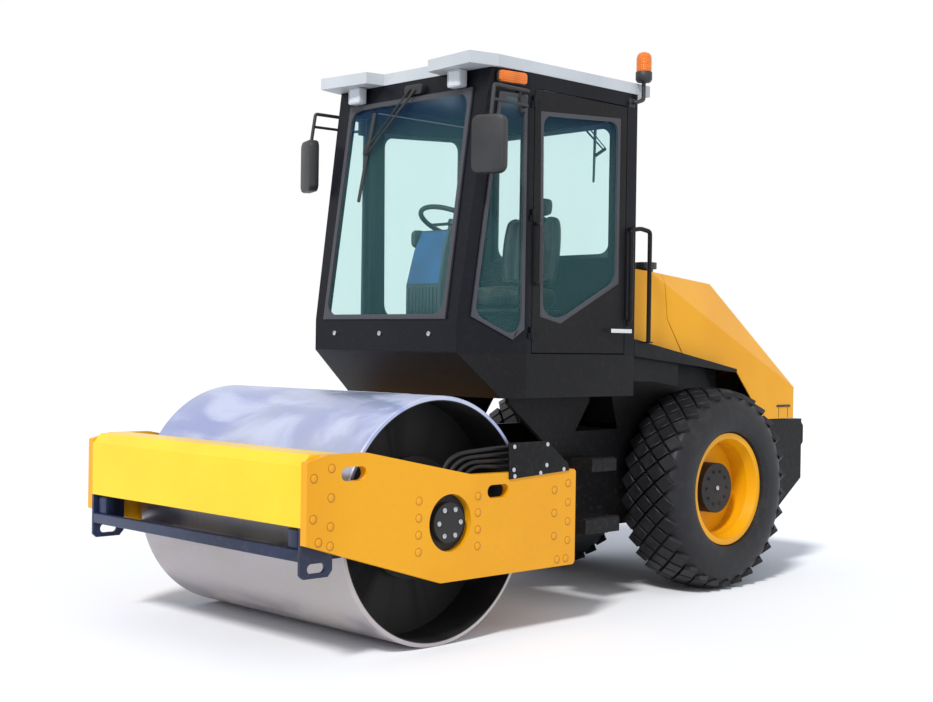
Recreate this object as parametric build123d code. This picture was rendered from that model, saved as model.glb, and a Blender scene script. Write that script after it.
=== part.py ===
from build123d import *

import os
from math import cos, pi, sin, sqrt

# Single-drum road roller. Millimetres, +Z up, +X to the machine's left, +Y to its rear.
# Lengths along Y are set out from the drum's axle. write() then moves each piece, so that
# the part's origin is on the ground at the middle of its length.

# ---------------------------------------------------------------- driving sizes
SEAT_GAP = 0.3        # clearance of a shaft in its bore
RUN_GAP = 6           # clearance round a door or lid

DRUM_RADIUS = 600
DRUM_WIDTH = 1680
DRUM_WALL = 25
DRUM_RIM_CHAMFER = 5
HEAD_INSET = 255      # drum head, measured in from the drum's end
HEAD_THICKNESS = 25
HEAD_BORE_RADIUS = 150
BUFFER_COUNT = 8
BUFFER_RADIUS = 42
BUFFER_LENGTH = 60
BUFFER_CIRCLE_RADIUS = 240
HUB_FLANGE_RADIUS = 300
HUB_FLANGE_THICKNESS = 20
HUB_RADIUS = 130
HUB_LENGTH = 90
STUB_RADIUS = 80

FRAME_WIDTH = 1850    # over the side plates
PLATE_THICKNESS = 42
PLATE_FRONT_Y = -861
PLATE_REAR_Y = 892
AXLE_HOLE_RADIUS = 137
CARRIER_THICKNESS = 30
CARRIER_LENGTH = 470
CARRIER_HEIGHT = 360
MOTOR_RADIUS = 96
MOTOR_LENGTH = 34

BEAM_DEPTH = 215
BEAM_BOTTOM_Z = 638
BEAM_TOP_Z = 955
BEAM_CHAMFER = 48
REAR_BEAM_FRONT_Y = 690
REAR_BEAM_BOTTOM_Z = 335
REAR_BEAM_TOP_Z = 790

SCRAPER_BAR_Y = -861
SCRAPER_BAR_DEPTH = 40
SCRAPER_BAR_BOTTOM_Z = 488
SCRAPER_BAR_HEIGHT = 52
LUG_THICKNESS = 16

WHEELBASE = 2430
TYRE_RADIUS = 604
TYRE_WIDTH = 378
TREAD_HEIGHT = 26
WHEEL_TRACK = 1250
RIM_FLANGE_RADIUS = 335
RIM_WIDTH = 320
RIM_WALL = 10
HUB_DRUM_RADIUS = 150

PIVOT_Y = 1215        # articulation, half-way between the axles
KING_PIN_RADIUS = 45
OSCILLATION_Z = 620
OSCILLATION_SHAFT_RADIUS = 90
NECK_RADIUS = 165
NECK_LENGTH = 160
FORK_BOTTOM_Z = 440
FORK_TOP_Z = 800
FORK_THICKNESS = 40
ARM_REACH = 235
CYLINDER_REAR_Y = 1820
CYLINDER_Z = 655
CYLINDER_RADIUS = 38
ROD_RADIUS = 20

CHASSIS_WIDTH = 800
CHASSIS_PLATE = 30
CHASSIS_FRONT_Y = 1290
CHASSIS_TOP_Z = 960
AXLE_BEAM = 200
COUNTERWEIGHT_WIDTH = 1080
COUNTERWEIGHT_FRONT_Y = 3090
COUNTERWEIGHT_TOP_Z = 985
COUNTERWEIGHT_REAR_Y = 3605
TOW_EYE_REACH = 85

CAB_WIDTH = 1300
CAB_NOSE_WIDTH = 1150
CAB_FRONT_Y = 358
CAB_SHOULDER_Y = 800
CAB_REAR_Y = 1690
CAB_BOTTOM_Z = 1168
CAB_FLOOR_Z = 1402
CAB_TOP_Z = 2882
CAB_WALL = 40
DOOR_FRONT_Y = 838
DOOR_REAR_Y = 1597
DOOR_TOP_Z = 2800
GLASS = 6
ROOF_TOP_Z = 2945

HOOD_WIDTH = 1080
HOOD_WALL = 8
HOOD_FRONT_Y = 1740
HOOD_TOP_Z = 1905     # at its front edge
HOOD_TOP_FALL = 0.053
HOOD_SEAM_Y = 2105    # between the fixed front and the lid
HOOD_SEAM_FOOT_Y = 2300
HOOD_CORNER_Y = 2855  # lower corner of the lid's side over the tyre
HOOD_REAR_Y = 3505

# ---------------------------------------------------------------- derived sizes
plate_out = FRAME_WIDTH / 2
plate_in = plate_out - PLATE_THICKNESS
drum_half = DRUM_WIDTH / 2
head_out = drum_half - HEAD_INSET
cab_half = CAB_WIDTH / 2
hood_half = HOOD_WIDTH / 2
chassis_half = CHASSIS_WIDTH / 2
wheel_x = WHEEL_TRACK / 2
flange_x = wheel_x + RIM_WIDTH / 2
middle_y = (PLATE_FRONT_Y + COUNTERWEIGHT_REAR_Y + TOW_EYE_REACH) / 2
SIDES = {"left": 1, "right": -1}


# ---------------------------------------------------------------- helpers
def block(x0, x1, y0, y1, z0, z1):
    """Box between two corners."""
    return Pos((x0 + x1) / 2, (y0 + y1) / 2, (z0 + z1) / 2) * Box(x1 - x0, y1 - y0, z1 - z0)


def side_sheet(points, x0, x1):
    """Outline in (y, z), extruded from x0 to x1."""
    face = make_face(Plane.YZ.offset(x0) * Polyline(*points, close=True))
    return extrude(face, amount=x1 - x0, dir=(1, 0, 0))


def plan_sheet(points, z0, z1):
    """Outline in (x, y), extruded from z0 to z1."""
    face = make_face(Plane.XY.offset(z0) * Polyline(*points, close=True))
    return extrude(face, amount=z1 - z0, dir=(0, 0, 1))


def rod_x(y, z, radius, x0, x1):
    return extrude(Plane.YZ.offset(x0) * Pos(y, z) * Circle(radius), amount=x1 - x0)


def rod_y(x, z, radius, y0, y1):
    plane = Plane(origin=(x, y0, z), x_dir=(1, 0, 0), z_dir=(0, 1, 0))
    return extrude(plane * Circle(radius), amount=y1 - y0)


def rod_z(x, y, radius, z0, z1):
    return extrude(Plane.XY.offset(z0) * Pos(x, y) * Circle(radius), amount=z1 - z0)


def turned(points, y, z):
    """Outline in (x, radius), turned about the line along X at (y, z)."""
    face = make_face(Polyline(*points, close=True))
    solid = revolve(face, axis=Axis.X)
    return Pos(0, y, z) * solid


def slot_x(y, z, length, height, x0, x1):
    """Rounded slot through a side plate, long in y."""
    face = Plane.YZ.offset(x0) * Pos(y, z) * RectangleRounded(length, height, height * 0.49)
    return extrude(face, amount=x1 - x0)


def mirrored(shape):
    return mirror(shape, about=Plane.YZ)


def pair(shape):
    return [shape, mirrored(shape)]


def write(name, *shapes):
    """One STEP file for one sub-part."""
    solids = []
    for shape in shapes:
        solids.extend(shape.solids())
    solids = [Pos(0, -middle_y, 0) * solid for solid in solids]
    body = solids[0] if len(solids) == 1 else Compound(children=solids)
    export_step(body, f"parts/{name}.step")


def for_side(name, shape):
    """Writes a left-hand piece and its mirror image."""
    write(f"{name}_left", shape)
    write(f"{name}_right", mirrored(shape))


# ---------------------------------------------------------------- drum
def drum():
    inner = DRUM_RADIUS - DRUM_WALL
    edge = DRUM_RIM_CHAMFER
    shell = turned(
        [
            (-drum_half, inner),
            (-drum_half, DRUM_RADIUS - edge),
            (-drum_half + edge, DRUM_RADIUS),
            (drum_half - edge, DRUM_RADIUS),
            (drum_half, DRUM_RADIUS - edge),
            (drum_half, inner),
        ],
        0,
        DRUM_RADIUS,
    )
    for side in SIDES.values():
        x0, x1 = sorted((side * head_out, side * (head_out - HEAD_THICKNESS)))
        head = rod_x(0, DRUM_RADIUS, inner + 1, x0, x1) - rod_x(0, DRUM_RADIUS, HEAD_BORE_RADIUS, x0, x1)
        shell += head
    write("drum", shell)


def drum_hubs():
    """Hub flange carried on rubber buffers inside each end of the drum."""
    flange_x0 = head_out + BUFFER_LENGTH
    flange_x1 = flange_x0 + HUB_FLANGE_THICKNESS
    hub = rod_x(0, DRUM_RADIUS, HUB_FLANGE_RADIUS, flange_x0, flange_x1)
    hub += rod_x(0, DRUM_RADIUS, HUB_RADIUS, flange_x0, flange_x1 + HUB_LENGTH)
    hub -= rod_x(0, DRUM_RADIUS, STUB_RADIUS + SEAT_GAP, flange_x0, flange_x1 + HUB_LENGTH)
    buffers = []
    for i in range(BUFFER_COUNT):
        turn = 2 * pi * (i + 0.5) / BUFFER_COUNT
        y = BUFFER_CIRCLE_RADIUS * cos(turn)
        z = DRUM_RADIUS + BUFFER_CIRCLE_RADIUS * sin(turn)
        buffers.append(rod_x(y, z, BUFFER_RADIUS, head_out, flange_x0))
    write("drum_hubs", *pair(hub))
    write("drum_buffers", *[b for buffer in buffers for b in pair(buffer)])


# ---------------------------------------------------------------- drum frame
def side_plate():
    nose_bottom_z = 563
    knee_y = -60
    outline = [
        (PLATE_FRONT_Y, nose_bottom_z),
        (PLATE_FRONT_Y, 925),
        (PLATE_FRONT_Y + 118, BEAM_TOP_Z),
        (-520, BEAM_TOP_Z),
        (143, 822),
        (PLATE_REAR_Y - 12, 812),
        (PLATE_REAR_Y, 800),
        (PLATE_REAR_Y, 335),
        (PLATE_REAR_Y - 15, 320),
        (knee_y, 320),
    ]
    plate = side_sheet(outline, plate_in, plate_out)
    plate -= rod_x(0, DRUM_RADIUS, AXLE_HOLE_RADIUS, plate_in, plate_out)
    plate -= slot_x(-596, 864, 146, 64, plate_in, plate_out)
    plate -= slot_x(320, 732, 148, 64, plate_in, plate_out)
    for_side("side_plate", plate)


def axle_carriers():
    """Plate bolted inside each side plate, with the stub axle and the drum's motor."""
    carrier = block(
        plate_in - CARRIER_THICKNESS,
        plate_in,
        -CARRIER_LENGTH / 2,
        CARRIER_LENGTH / 2,
        DRUM_RADIUS - CARRIER_HEIGHT / 2,
        DRUM_RADIUS + CARRIER_HEIGHT / 2,
    )
    stub_x = head_out + BUFFER_LENGTH - 10
    carrier += rod_x(0, DRUM_RADIUS, STUB_RADIUS, stub_x, plate_in - CARRIER_THICKNESS)
    carrier += rod_x(0, DRUM_RADIUS, MOTOR_RADIUS, plate_in, plate_in + MOTOR_LENGTH)
    write("axle_carriers", *pair(carrier))


def beams():
    y0 = PLATE_FRONT_Y
    y1 = y0 + BEAM_DEPTH
    c = BEAM_CHAMFER
    front = side_sheet(
        [(y0, BEAM_BOTTOM_Z), (y0, BEAM_TOP_Z - c), (y0 + c, BEAM_TOP_Z), (y1, BEAM_TOP_Z), (y1, BEAM_BOTTOM_Z)],
        -plate_in,
        plate_in,
    )
    write("front_beam", front)
    rear = block(-plate_in, plate_in, REAR_BEAM_FRONT_Y, PLATE_REAR_Y - 12, REAR_BEAM_BOTTOM_Z, REAR_BEAM_TOP_Z)
    neck_y0 = PLATE_REAR_Y - 12
    rear += rod_y(0, OSCILLATION_Z, NECK_RADIUS, neck_y0, neck_y0 + NECK_LENGTH)
    rear -= rod_y(0, OSCILLATION_Z, OSCILLATION_SHAFT_RADIUS + SEAT_GAP, neck_y0 - 100, neck_y0 + NECK_LENGTH)
    write("rear_beam", rear)


def scrapers():
    y0 = SCRAPER_BAR_Y
    z0 = SCRAPER_BAR_BOTTOM_Z
    z1 = z0 + SCRAPER_BAR_HEIGHT
    bar = block(-plate_in, plate_in, y0, y0 + SCRAPER_BAR_DEPTH, z0, z1)
    lug_x1 = plate_in
    outline = [
        (y0 + SCRAPER_BAR_DEPTH, BEAM_BOTTOM_Z),
        (y0, BEAM_BOTTOM_Z),
        (y0, 430),
        (y0 + 20, 412),
        (y0 + 155, 412),
        (y0 + 180, 440),
        (y0 + 180, BEAM_BOTTOM_Z),
    ]
    for x0, x1 in ((lug_x1 - LUG_THICKNESS, lug_x1), (-lug_x1, -lug_x1 + LUG_THICKNESS)):
        lug = side_sheet(outline, x0, x1) - slot_x(y0 + 90, 455, 100, 44, x0, x1)
        bar += lug
    reach = sqrt(DRUM_RADIUS**2 - (DRUM_RADIUS - z1) ** 2) + 3
    blade = side_sheet(
        [(y0 + SCRAPER_BAR_DEPTH, z1 - 8), (y0 + SCRAPER_BAR_DEPTH, z1), (-reach, z1), (-reach, z1 - 8)],
        -drum_half + 20,
        drum_half - 20,
    )
    write("scraper_front", bar + blade)
    rear_z = 500
    rear_reach = sqrt(DRUM_RADIUS**2 - (DRUM_RADIUS - rear_z) ** 2) + 3
    rear = block(-drum_half + 20, drum_half - 20, rear_reach + 4, REAR_BEAM_FRONT_Y, rear_z - 10, rear_z)
    write("scraper_rear", rear)


def hose_cover():
    outline = [(392, 785), (384, 965), (662, 965), (824, 845), (834, 808)]
    cover = side_sheet(outline, plate_out, plate_out + 6)
    write("hose_cover", cover)


# ---------------------------------------------------------------- articulation
def pivot_block():
    z0 = FORK_BOTTOM_Z + FORK_THICKNESS + SEAT_GAP
    z1 = FORK_TOP_Z - FORK_THICKNESS - SEAT_GAP
    core = block(-115, 115, PIVOT_Y - 110, PIVOT_Y + 80, z0, z1)
    neck_end = PLATE_REAR_Y - 12 + NECK_LENGTH
    shaft = rod_y(0, OSCILLATION_Z, OSCILLATION_SHAFT_RADIUS, neck_end - NECK_LENGTH - 60, PIVOT_Y - 110)
    arm_z1 = CYLINDER_Z - ROD_RADIUS - 20
    arms = block(-ARM_REACH, ARM_REACH, PIVOT_Y - 20, PIVOT_Y + 50, arm_z1 - 30, arm_z1)
    core = core + shaft + arms
    for side in SIDES.values():
        core += rod_z(side * ARM_REACH, PIVOT_Y + 15, 40, arm_z1 - 30, arm_z1)
        core += rod_z(side * ARM_REACH, PIVOT_Y + 15, 16, arm_z1, arm_z1 + 17)
    core -= rod_z(0, PIVOT_Y, KING_PIN_RADIUS + SEAT_GAP, z0, z1)
    write("pivot_block", core)
    pin = rod_z(0, PIVOT_Y, KING_PIN_RADIUS, FORK_BOTTOM_Z - 10, FORK_TOP_Z + 10)
    pin += rod_z(0, PIVOT_Y, KING_PIN_RADIUS + 20, FORK_TOP_Z, FORK_TOP_Z + 20)
    write("king_pin", pin)


def steering_cylinders():
    eye_y = PIVOT_Y + 15
    barrel_y0 = eye_y + 190
    barrel_y1 = CYLINDER_REAR_Y - 45
    for name, side in SIDES.items():
        x = side * ARM_REACH
        barrel = rod_y(x, CYLINDER_Z, CYLINDER_RADIUS, barrel_y0, barrel_y1)
        barrel += rod_z(x, CYLINDER_REAR_Y, 45, CYLINDER_Z - 20, CYLINDER_Z + 20)
        barrel += block(x - 20, x + 20, barrel_y1, CYLINDER_REAR_Y, CYLINDER_Z - 20, CYLINDER_Z + 20)
        barrel -= rod_y(x, CYLINDER_Z, ROD_RADIUS + SEAT_GAP, barrel_y0, barrel_y1 - 30)
        barrel -= rod_z(x, CYLINDER_REAR_Y, 20 + SEAT_GAP, CYLINDER_Z - 20, CYLINDER_Z + 20)
        write(f"steering_barrel_{name}", barrel)
        rod = rod_y(x, CYLINDER_Z, ROD_RADIUS, eye_y + 25, barrel_y1 - 170)
        rod += rod_z(x, eye_y, 34, CYLINDER_Z - 18, CYLINDER_Z + 18)
        rod -= rod_z(x, eye_y, 18, CYLINDER_Z - 18, CYLINDER_Z + 18)
        write(f"steering_rod_{name}", rod)


# ---------------------------------------------------------------- rear frame
def rear_frame():
    axle_top = TYRE_RADIUS + AXLE_BEAM / 2
    outline = [
        (CHASSIS_FRONT_Y, 400),
        (CHASSIS_FRONT_Y, 850),
        (930, 1128),
        (930, CAB_BOTTOM_Z),
        (1600, CAB_BOTTOM_Z),
        (1600, 1128),
        (1480, CHASSIS_TOP_Z),
        (COUNTERWEIGHT_FRONT_Y, CHASSIS_TOP_Z),
        (COUNTERWEIGHT_FRONT_Y, 480),
        (WHEELBASE + 220, 480),
        (WHEELBASE + 130, axle_top),
        (WHEELBASE - 130, axle_top),
        (WHEELBASE - 220, 400),
    ]
    side = side_sheet(outline, chassis_half - CHASSIS_PLATE, chassis_half)
    frame = side + mirrored(side)
    inner = chassis_half - CHASSIS_PLATE
    for z0 in (FORK_BOTTOM_Z, FORK_TOP_Z - FORK_THICKNESS):
        fork = plan_sheet(
            [(-140, PIVOT_Y - 60), (140, PIVOT_Y - 60), (inner, 1420), (inner, 1700), (-inner, 1700), (-inner, 1420)],
            z0,
            z0 + FORK_THICKNESS,
        )
        frame += fork
    bulkhead = block(-inner, inner, CYLINDER_REAR_Y + 60, CYLINDER_REAR_Y + 90, 400, 960)
    frame += bulkhead
    for side in SIDES.values():
        for z in (CYLINDER_Z - 20 - SEAT_GAP - 20, CYLINDER_Z + 20 + SEAT_GAP):
            ear = block(
                side * ARM_REACH - 40,
                side * ARM_REACH + 40,
                CYLINDER_REAR_Y - 40,
                CYLINDER_REAR_Y + 60,
                z,
                z + 20,
            )
            frame += ear
        frame += rod_z(side * ARM_REACH, CYLINDER_REAR_Y, 20, CYLINDER_Z - 30, CYLINDER_Z + 30)
    frame -= rod_z(0, PIVOT_Y, KING_PIN_RADIUS, FORK_BOTTOM_Z, FORK_TOP_Z)
    frame += block(-inner, inner, COUNTERWEIGHT_FRONT_Y - 30, COUNTERWEIGHT_FRONT_Y, 480, 960)
    write("rear_frame", frame)


def counterweight():
    half = COUNTERWEIGHT_WIDTH / 2
    y0, y1 = COUNTERWEIGHT_FRONT_Y, COUNTERWEIGHT_REAR_Y
    z1 = COUNTERWEIGHT_TOP_Z
    outline = [(y0, 420), (y0, z1), (y1, z1), (y1, 590), (y1 - 290, 393), (y0 + 30, 393)]
    weight = side_sheet(outline, -half, half)
    eye = side_sheet(
        [
            (y1, 800),
            (y1, 960),
            (y1 + TOW_EYE_REACH - 25, 960),
            (y1 + TOW_EYE_REACH, 935),
            (y1 + TOW_EYE_REACH, 825),
            (y1 + TOW_EYE_REACH - 25, 800),
        ],
        half - 70,
        half - 40,
    )
    hole = Plane.YZ.offset(half - 70) * Pos(y1 + 42, 880) * RectangleRounded(46, 110, 22)
    eye -= extrude(hole, amount=30)
    weight = weight + eye + mirrored(eye)
    write("counterweight", weight)


def rear_axle():
    half = AXLE_BEAM / 2
    end = wheel_x - TYRE_WIDTH / 2 - 8
    beam = block(-end, end, WHEELBASE - half, WHEELBASE + half, TYRE_RADIUS - half, TYRE_RADIUS + half)
    beam += rod_y(0, TYRE_RADIUS, 190, WHEELBASE - half, WHEELBASE + half)
    beam += rod_x(WHEELBASE, TYRE_RADIUS, 60, -wheel_x, wheel_x)
    write("rear_axle", beam)


def wheels():
    sidewall = TYRE_RADIUS - 45
    half = TYRE_WIDTH / 2
    bead = RIM_FLANGE_RADIUS - 22
    tyre = turned(
        [
            (-RIM_WIDTH / 2 + 14, bead),
            (-RIM_WIDTH / 2 + 14, RIM_FLANGE_RADIUS),
            (-half + 8, bead + 70),
            (-half, bead + 130),
            (-half + 12, sidewall),
            (-half + 60, TYRE_RADIUS - 6),
            (0, TYRE_RADIUS),
            (half - 60, TYRE_RADIUS - 6),
            (half - 12, sidewall),
            (half, bead + 130),
            (half - 8, bead + 70),
            (RIM_WIDTH / 2 - 14, RIM_FLANGE_RADIUS),
            (RIM_WIDTH / 2 - 14, bead),
        ],
        WHEELBASE,
        TYRE_RADIUS,
    )
    tyre = Pos(wheel_x, 0, 0) * tyre
    outer = RIM_WIDTH / 2
    rim = turned(
        [
            (-outer, RIM_FLANGE_RADIUS),
            (-outer + 14, RIM_FLANGE_RADIUS),
            (-outer + 14, bead),
            (outer - 14, bead),
            (outer - 14, RIM_FLANGE_RADIUS),
            (outer, RIM_FLANGE_RADIUS),
            (outer, bead - 12),
            (outer - 60, bead - 30),
            (-10, bead - 30),
            (-10, HUB_DRUM_RADIUS),
            (-26, HUB_DRUM_RADIUS),
            (-26, bead - 30),
            (-outer, bead - 12),
        ],
        WHEELBASE,
        TYRE_RADIUS,
    )
    rim = Pos(wheel_x, 0, 0) * rim
    hub = rod_x(WHEELBASE, TYRE_RADIUS, HUB_DRUM_RADIUS, wheel_x - 26, wheel_x + 80)
    hub += rod_x(WHEELBASE, TYRE_RADIUS, 190, wheel_x - 110, wheel_x - 26)
    hub -= rod_x(WHEELBASE, TYRE_RADIUS, 60 + SEAT_GAP, wheel_x - 110, wheel_x + SEAT_GAP)
    for_side("tyre", tyre)
    for_side("rim", rim)
    for_side("wheel_hub", hub)


# ---------------------------------------------------------------- cab
def cab_form(inset, z0, z1):
    """The cab's outer form, or the space inside walls of the given thickness."""
    nose = CAB_NOSE_WIDTH / 2 - inset
    half = cab_half - inset
    plan = plan_sheet(
        [
            (-nose, CAB_FRONT_Y + inset),
            (nose, CAB_FRONT_Y + inset),
            (half, CAB_SHOULDER_Y),
            (half, CAB_REAR_Y - inset),
            (-half, CAB_REAR_Y - inset),
            (-half, CAB_SHOULDER_Y),
        ],
        z0,
        z1,
    )
    profile = side_sheet(
        [
            (CAB_FRONT_Y + inset, 1406),
            (CAB_FRONT_Y + inset, 1575),
            (548 + inset, CAB_TOP_Z),
            (CAB_REAR_Y - inset, CAB_TOP_Z),
            (CAB_REAR_Y - inset, CAB_BOTTOM_Z),
            (640 + inset, CAB_BOTTOM_Z),
        ],
        -cab_half,
        cab_half,
    )
    return plan & profile


WINDSCREEN_WIDTH = 990
WINDSCREEN_BOTTOM_Z = 1575
WINDSCREEN_TOP_Z = 2785
QUARTER_OUTLINE = [(440, 1590), (700, 1475), (775, 1530), (775, 2760), (600, 2760)]
DOOR_WINDOW = [(900, 1600), (1062, 1566), (1545, 1800), (1545, 2730), (885, 2690)]
REAR_WINDOW = (-480, 480, 1960, 2740)
HINGE_X = CAB_WIDTH / 2 + 10
HINGE_Y = DOOR_FRONT_Y - 12
HINGE_HEIGHTS = (1480, 2100, 2700)
KNUCKLE_RADIUS = 10
KNUCKLE_LENGTH = 32


def door_knuckle(z0, y0, y1):
    """Barrel of a door hinge on a leaf that lies on the cab's side."""
    knuckle = rod_z(HINGE_X, HINGE_Y, KNUCKLE_RADIUS, z0, z0 + KNUCKLE_LENGTH)
    return knuckle + block(HINGE_X - KNUCKLE_RADIUS, HINGE_X, y0, y1, z0, z0 + KNUCKLE_LENGTH)


def windscreen_prism(y_margin):
    half = WINDSCREEN_WIDTH / 2
    slope = (548 - CAB_FRONT_Y) / (CAB_TOP_Z - 1575)
    top_y = CAB_FRONT_Y + (WINDSCREEN_TOP_Z - 1575) * slope
    return side_sheet(
        [
            (CAB_FRONT_Y - y_margin, WINDSCREEN_BOTTOM_Z),
            (CAB_FRONT_Y + y_margin, WINDSCREEN_BOTTOM_Z),
            (top_y + y_margin, WINDSCREEN_TOP_Z),
            (top_y - y_margin, WINDSCREEN_TOP_Z),
        ],
        -half,
        half,
    )


def cab():
    base = cab_form(0, CAB_BOTTOM_Z, CAB_FLOOR_Z)
    write("cab_base", base)
    outer = cab_form(0, CAB_FLOOR_Z, CAB_TOP_Z)
    inner = cab_form(CAB_WALL, CAB_FLOOR_Z, CAB_TOP_Z - CAB_WALL)
    shell = outer - inner
    windscreen = windscreen_prism(80) & (outer - cab_form(GLASS, CAB_FLOOR_Z, CAB_TOP_Z))
    shell -= windscreen_prism(80)
    quarter_hole = side_sheet(QUARTER_OUTLINE, 500, cab_half + 20)
    skin = outer - cab_form(GLASS, CAB_FLOOR_Z, CAB_TOP_Z)
    quarter = quarter_hole & skin
    quarters = [quarter, mirrored(quarter)]
    for hole in (quarter_hole, mirrored(quarter_hole)):
        shell -= hole
    door_hole = block(
        cab_half - 2 * CAB_WALL,
        cab_half + 20,
        DOOR_FRONT_Y - RUN_GAP,
        DOOR_REAR_Y + RUN_GAP,
        CAB_FLOOR_Z,
        DOOR_TOP_Z + RUN_GAP,
    )
    shell = shell - door_hole - mirrored(door_hole)
    x0, x1, z0, z1 = REAR_WINDOW
    rear_hole = block(x0, x1, CAB_REAR_Y - 2 * CAB_WALL, CAB_REAR_Y + 10, z0, z1)
    shell -= rear_hole
    for z in HINGE_HEIGHTS:
        knuckle = door_knuckle(z, HINGE_Y - 24, HINGE_Y)
        knuckle += rod_z(HINGE_X, HINGE_Y, KNUCKLE_RADIUS / 2, z, z + 2 * KNUCKLE_LENGTH)
        shell += knuckle
        shell += mirrored(knuckle)
    write("cab_frame", shell)
    write("windscreen", windscreen)
    write("quarter_windows", *quarters)
    write("rear_window", block(x0, x1, CAB_REAR_Y - GLASS, CAB_REAR_Y, z0, z1))
    roof = plan_sheet(
        [
            (604, 395),
            (644, 565),
            (650, 1800),
            (-650, 1800),
            (-644, 565),
            (-604, 395),
            (-250, 432),
            (-230, 545),
            (230, 545),
            (250, 432),
        ],
        CAB_TOP_Z,
        ROOF_TOP_Z,
    )
    write("roof", roof)


def doors():
    frame = block(
        cab_half - CAB_WALL,
        cab_half,
        DOOR_FRONT_Y,
        DOOR_REAR_Y,
        CAB_FLOOR_Z + RUN_GAP,
        DOOR_TOP_Z,
    )
    hole = side_sheet(DOOR_WINDOW, cab_half - CAB_WALL - 1, cab_half + 1)
    glass = side_sheet(DOOR_WINDOW, cab_half - 12 - GLASS, cab_half - 12)
    handle = block(cab_half + 20, cab_half + 34, DOOR_REAR_Y - 150, DOOR_REAR_Y + 30, 1524, 1546)
    handle += block(cab_half, cab_half + 20, DOOR_REAR_Y - 145, DOOR_REAR_Y - 110, 1524, 1546)
    door = frame - hole
    for z in HINGE_HEIGHTS:
        z0 = z + KNUCKLE_LENGTH + SEAT_GAP
        door += door_knuckle(z0, HINGE_Y, HINGE_Y + 40)
        door -= rod_z(HINGE_X, HINGE_Y, KNUCKLE_RADIUS / 2 + SEAT_GAP, z0, z0 + KNUCKLE_LENGTH)
    for_side("door", door)
    for_side("door_glass", glass)
    for_side("door_handle", handle)


def cab_inside():
    seat = block(-230, 230, 1130, 1560, 1650, 1790)
    seat += side_sheet([(1440, 1790), (1560, 1790), (1620, 2330), (1540, 2330)], -230, 230)
    seat += block(-200, 200, 1180, 1520, CAB_FLOOR_Z, 1650)
    write("seat", seat)
    console = side_sheet([(640, CAB_FLOOR_Z), (800, CAB_FLOOR_Z), (860, 2060), (740, 2100)], -170, 170)
    write("console", console)
    wheel = Torus(190, 14) + Cylinder(30, 30) + Box(370, 20, 8) + Pos(0, 0, -60) * Cylinder(18, 120)
    write("steering_wheel", Pos(0, 870, 2125) * Rot(-25, 0, 0) * wheel - console)


def cab_outside():
    mirror_head = block(685, 755, 380, 520, 2320, 2620)
    arm_x = cab_half + 70
    arm = rod_x(735, 2765, 11, cab_half - 40, arm_x + 11) - cab_form(0, CAB_FLOOR_Z, CAB_TOP_Z)
    arm += rod_y(arm_x, 2765, 10, 440, 735)
    arm += rod_z(arm_x, 450, 9, 2610, 2765)
    write("mirrors", *pair(mirror_head + arm))
    lamp = block(430, 530, 440, 520, CAB_TOP_Z - 90, CAB_TOP_Z)
    write("work_lights", *pair(lamp))
    signal = block(cab_half - 12, cab_half + 12, 560, 700, CAB_TOP_Z - 62, CAB_TOP_Z)
    write("turn_signals", *pair(signal))
    foot = rod_x(1650, 2830, 11, cab_half, cab_half + 30) + rod_z(cab_half + 30, 1650, 11, 2830, 2985)
    lens = rod_z(cab_half + 30, 1650, 48, 2985, 3012) + rod_z(cab_half + 30, 1650, 42, 3012, 3124)
    write("beacon", foot + lens)
    rail_x = cab_half + 24
    rail = rod_z(rail_x, 1626, 12, 1560, 2110) + rod_z(rail_x, 1790, 12, 1470, 2110)
    rail += rod_y(rail_x, 2110, 12, 1614, 1802)
    rail += rod_x(1626, 1572, 12, cab_half, rail_x) + rod_x(1626, 2090, 12, cab_half, rail_x)
    write("handrails", *pair(rail))


# Deck over each tyre: its top line carries the hood's sides, its outer face is a deep fascia.
DECK_FRONT_Y = CAB_REAR_Y + 4
DECK_REAR_Y = 2700
DECK_TOP_Z = 1492     # at its front end
DECK_FALL = 0.172     # mm down for each mm to the rear
DECK_SHEET = 8


def deck_z(y):
    return DECK_TOP_Z - DECK_FALL * (y - DECK_FRONT_Y)


def fenders():
    y0, y1 = DECK_FRONT_Y, DECK_REAR_Y
    top = [(y0, deck_z(y0)), (y1, deck_z(y1))]
    sheet = [(y1, deck_z(y1) - DECK_SHEET), (y0, deck_z(y0) - DECK_SHEET)]
    deck = side_sheet(top + sheet, chassis_half - DECK_SHEET, cab_half)
    fascia = side_sheet(top + [(y1, deck_z(y1) - 22), (y0, deck_z(y0) - 98)], cab_half - DECK_SHEET, cab_half)
    inner = side_sheet(
        top + [(y1 + 220, CHASSIS_TOP_Z), (1860, CHASSIS_TOP_Z)],
        chassis_half - DECK_SHEET,
        chassis_half,
    )
    flap = side_sheet(
        [(y0, deck_z(y0) - 4), (2160, deck_z(2160) - 4), (2160, 1212), (1915, 1246), (y0, 1250)],
        cab_half - 50,
        cab_half - 50 + DECK_SHEET,
    )
    write("fenders", *pair(deck + fascia + inner + flap))


def steps():
    treads = []
    for y0, y1, z0, z1 in ((1342, 1550, 750, 818), (1292, 1583, 408, 489)):
        treads.append(block(chassis_half, cab_half, y0, y1, z0, z1))
    write("steps", *[t for tread in treads for t in pair(tread)])


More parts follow.
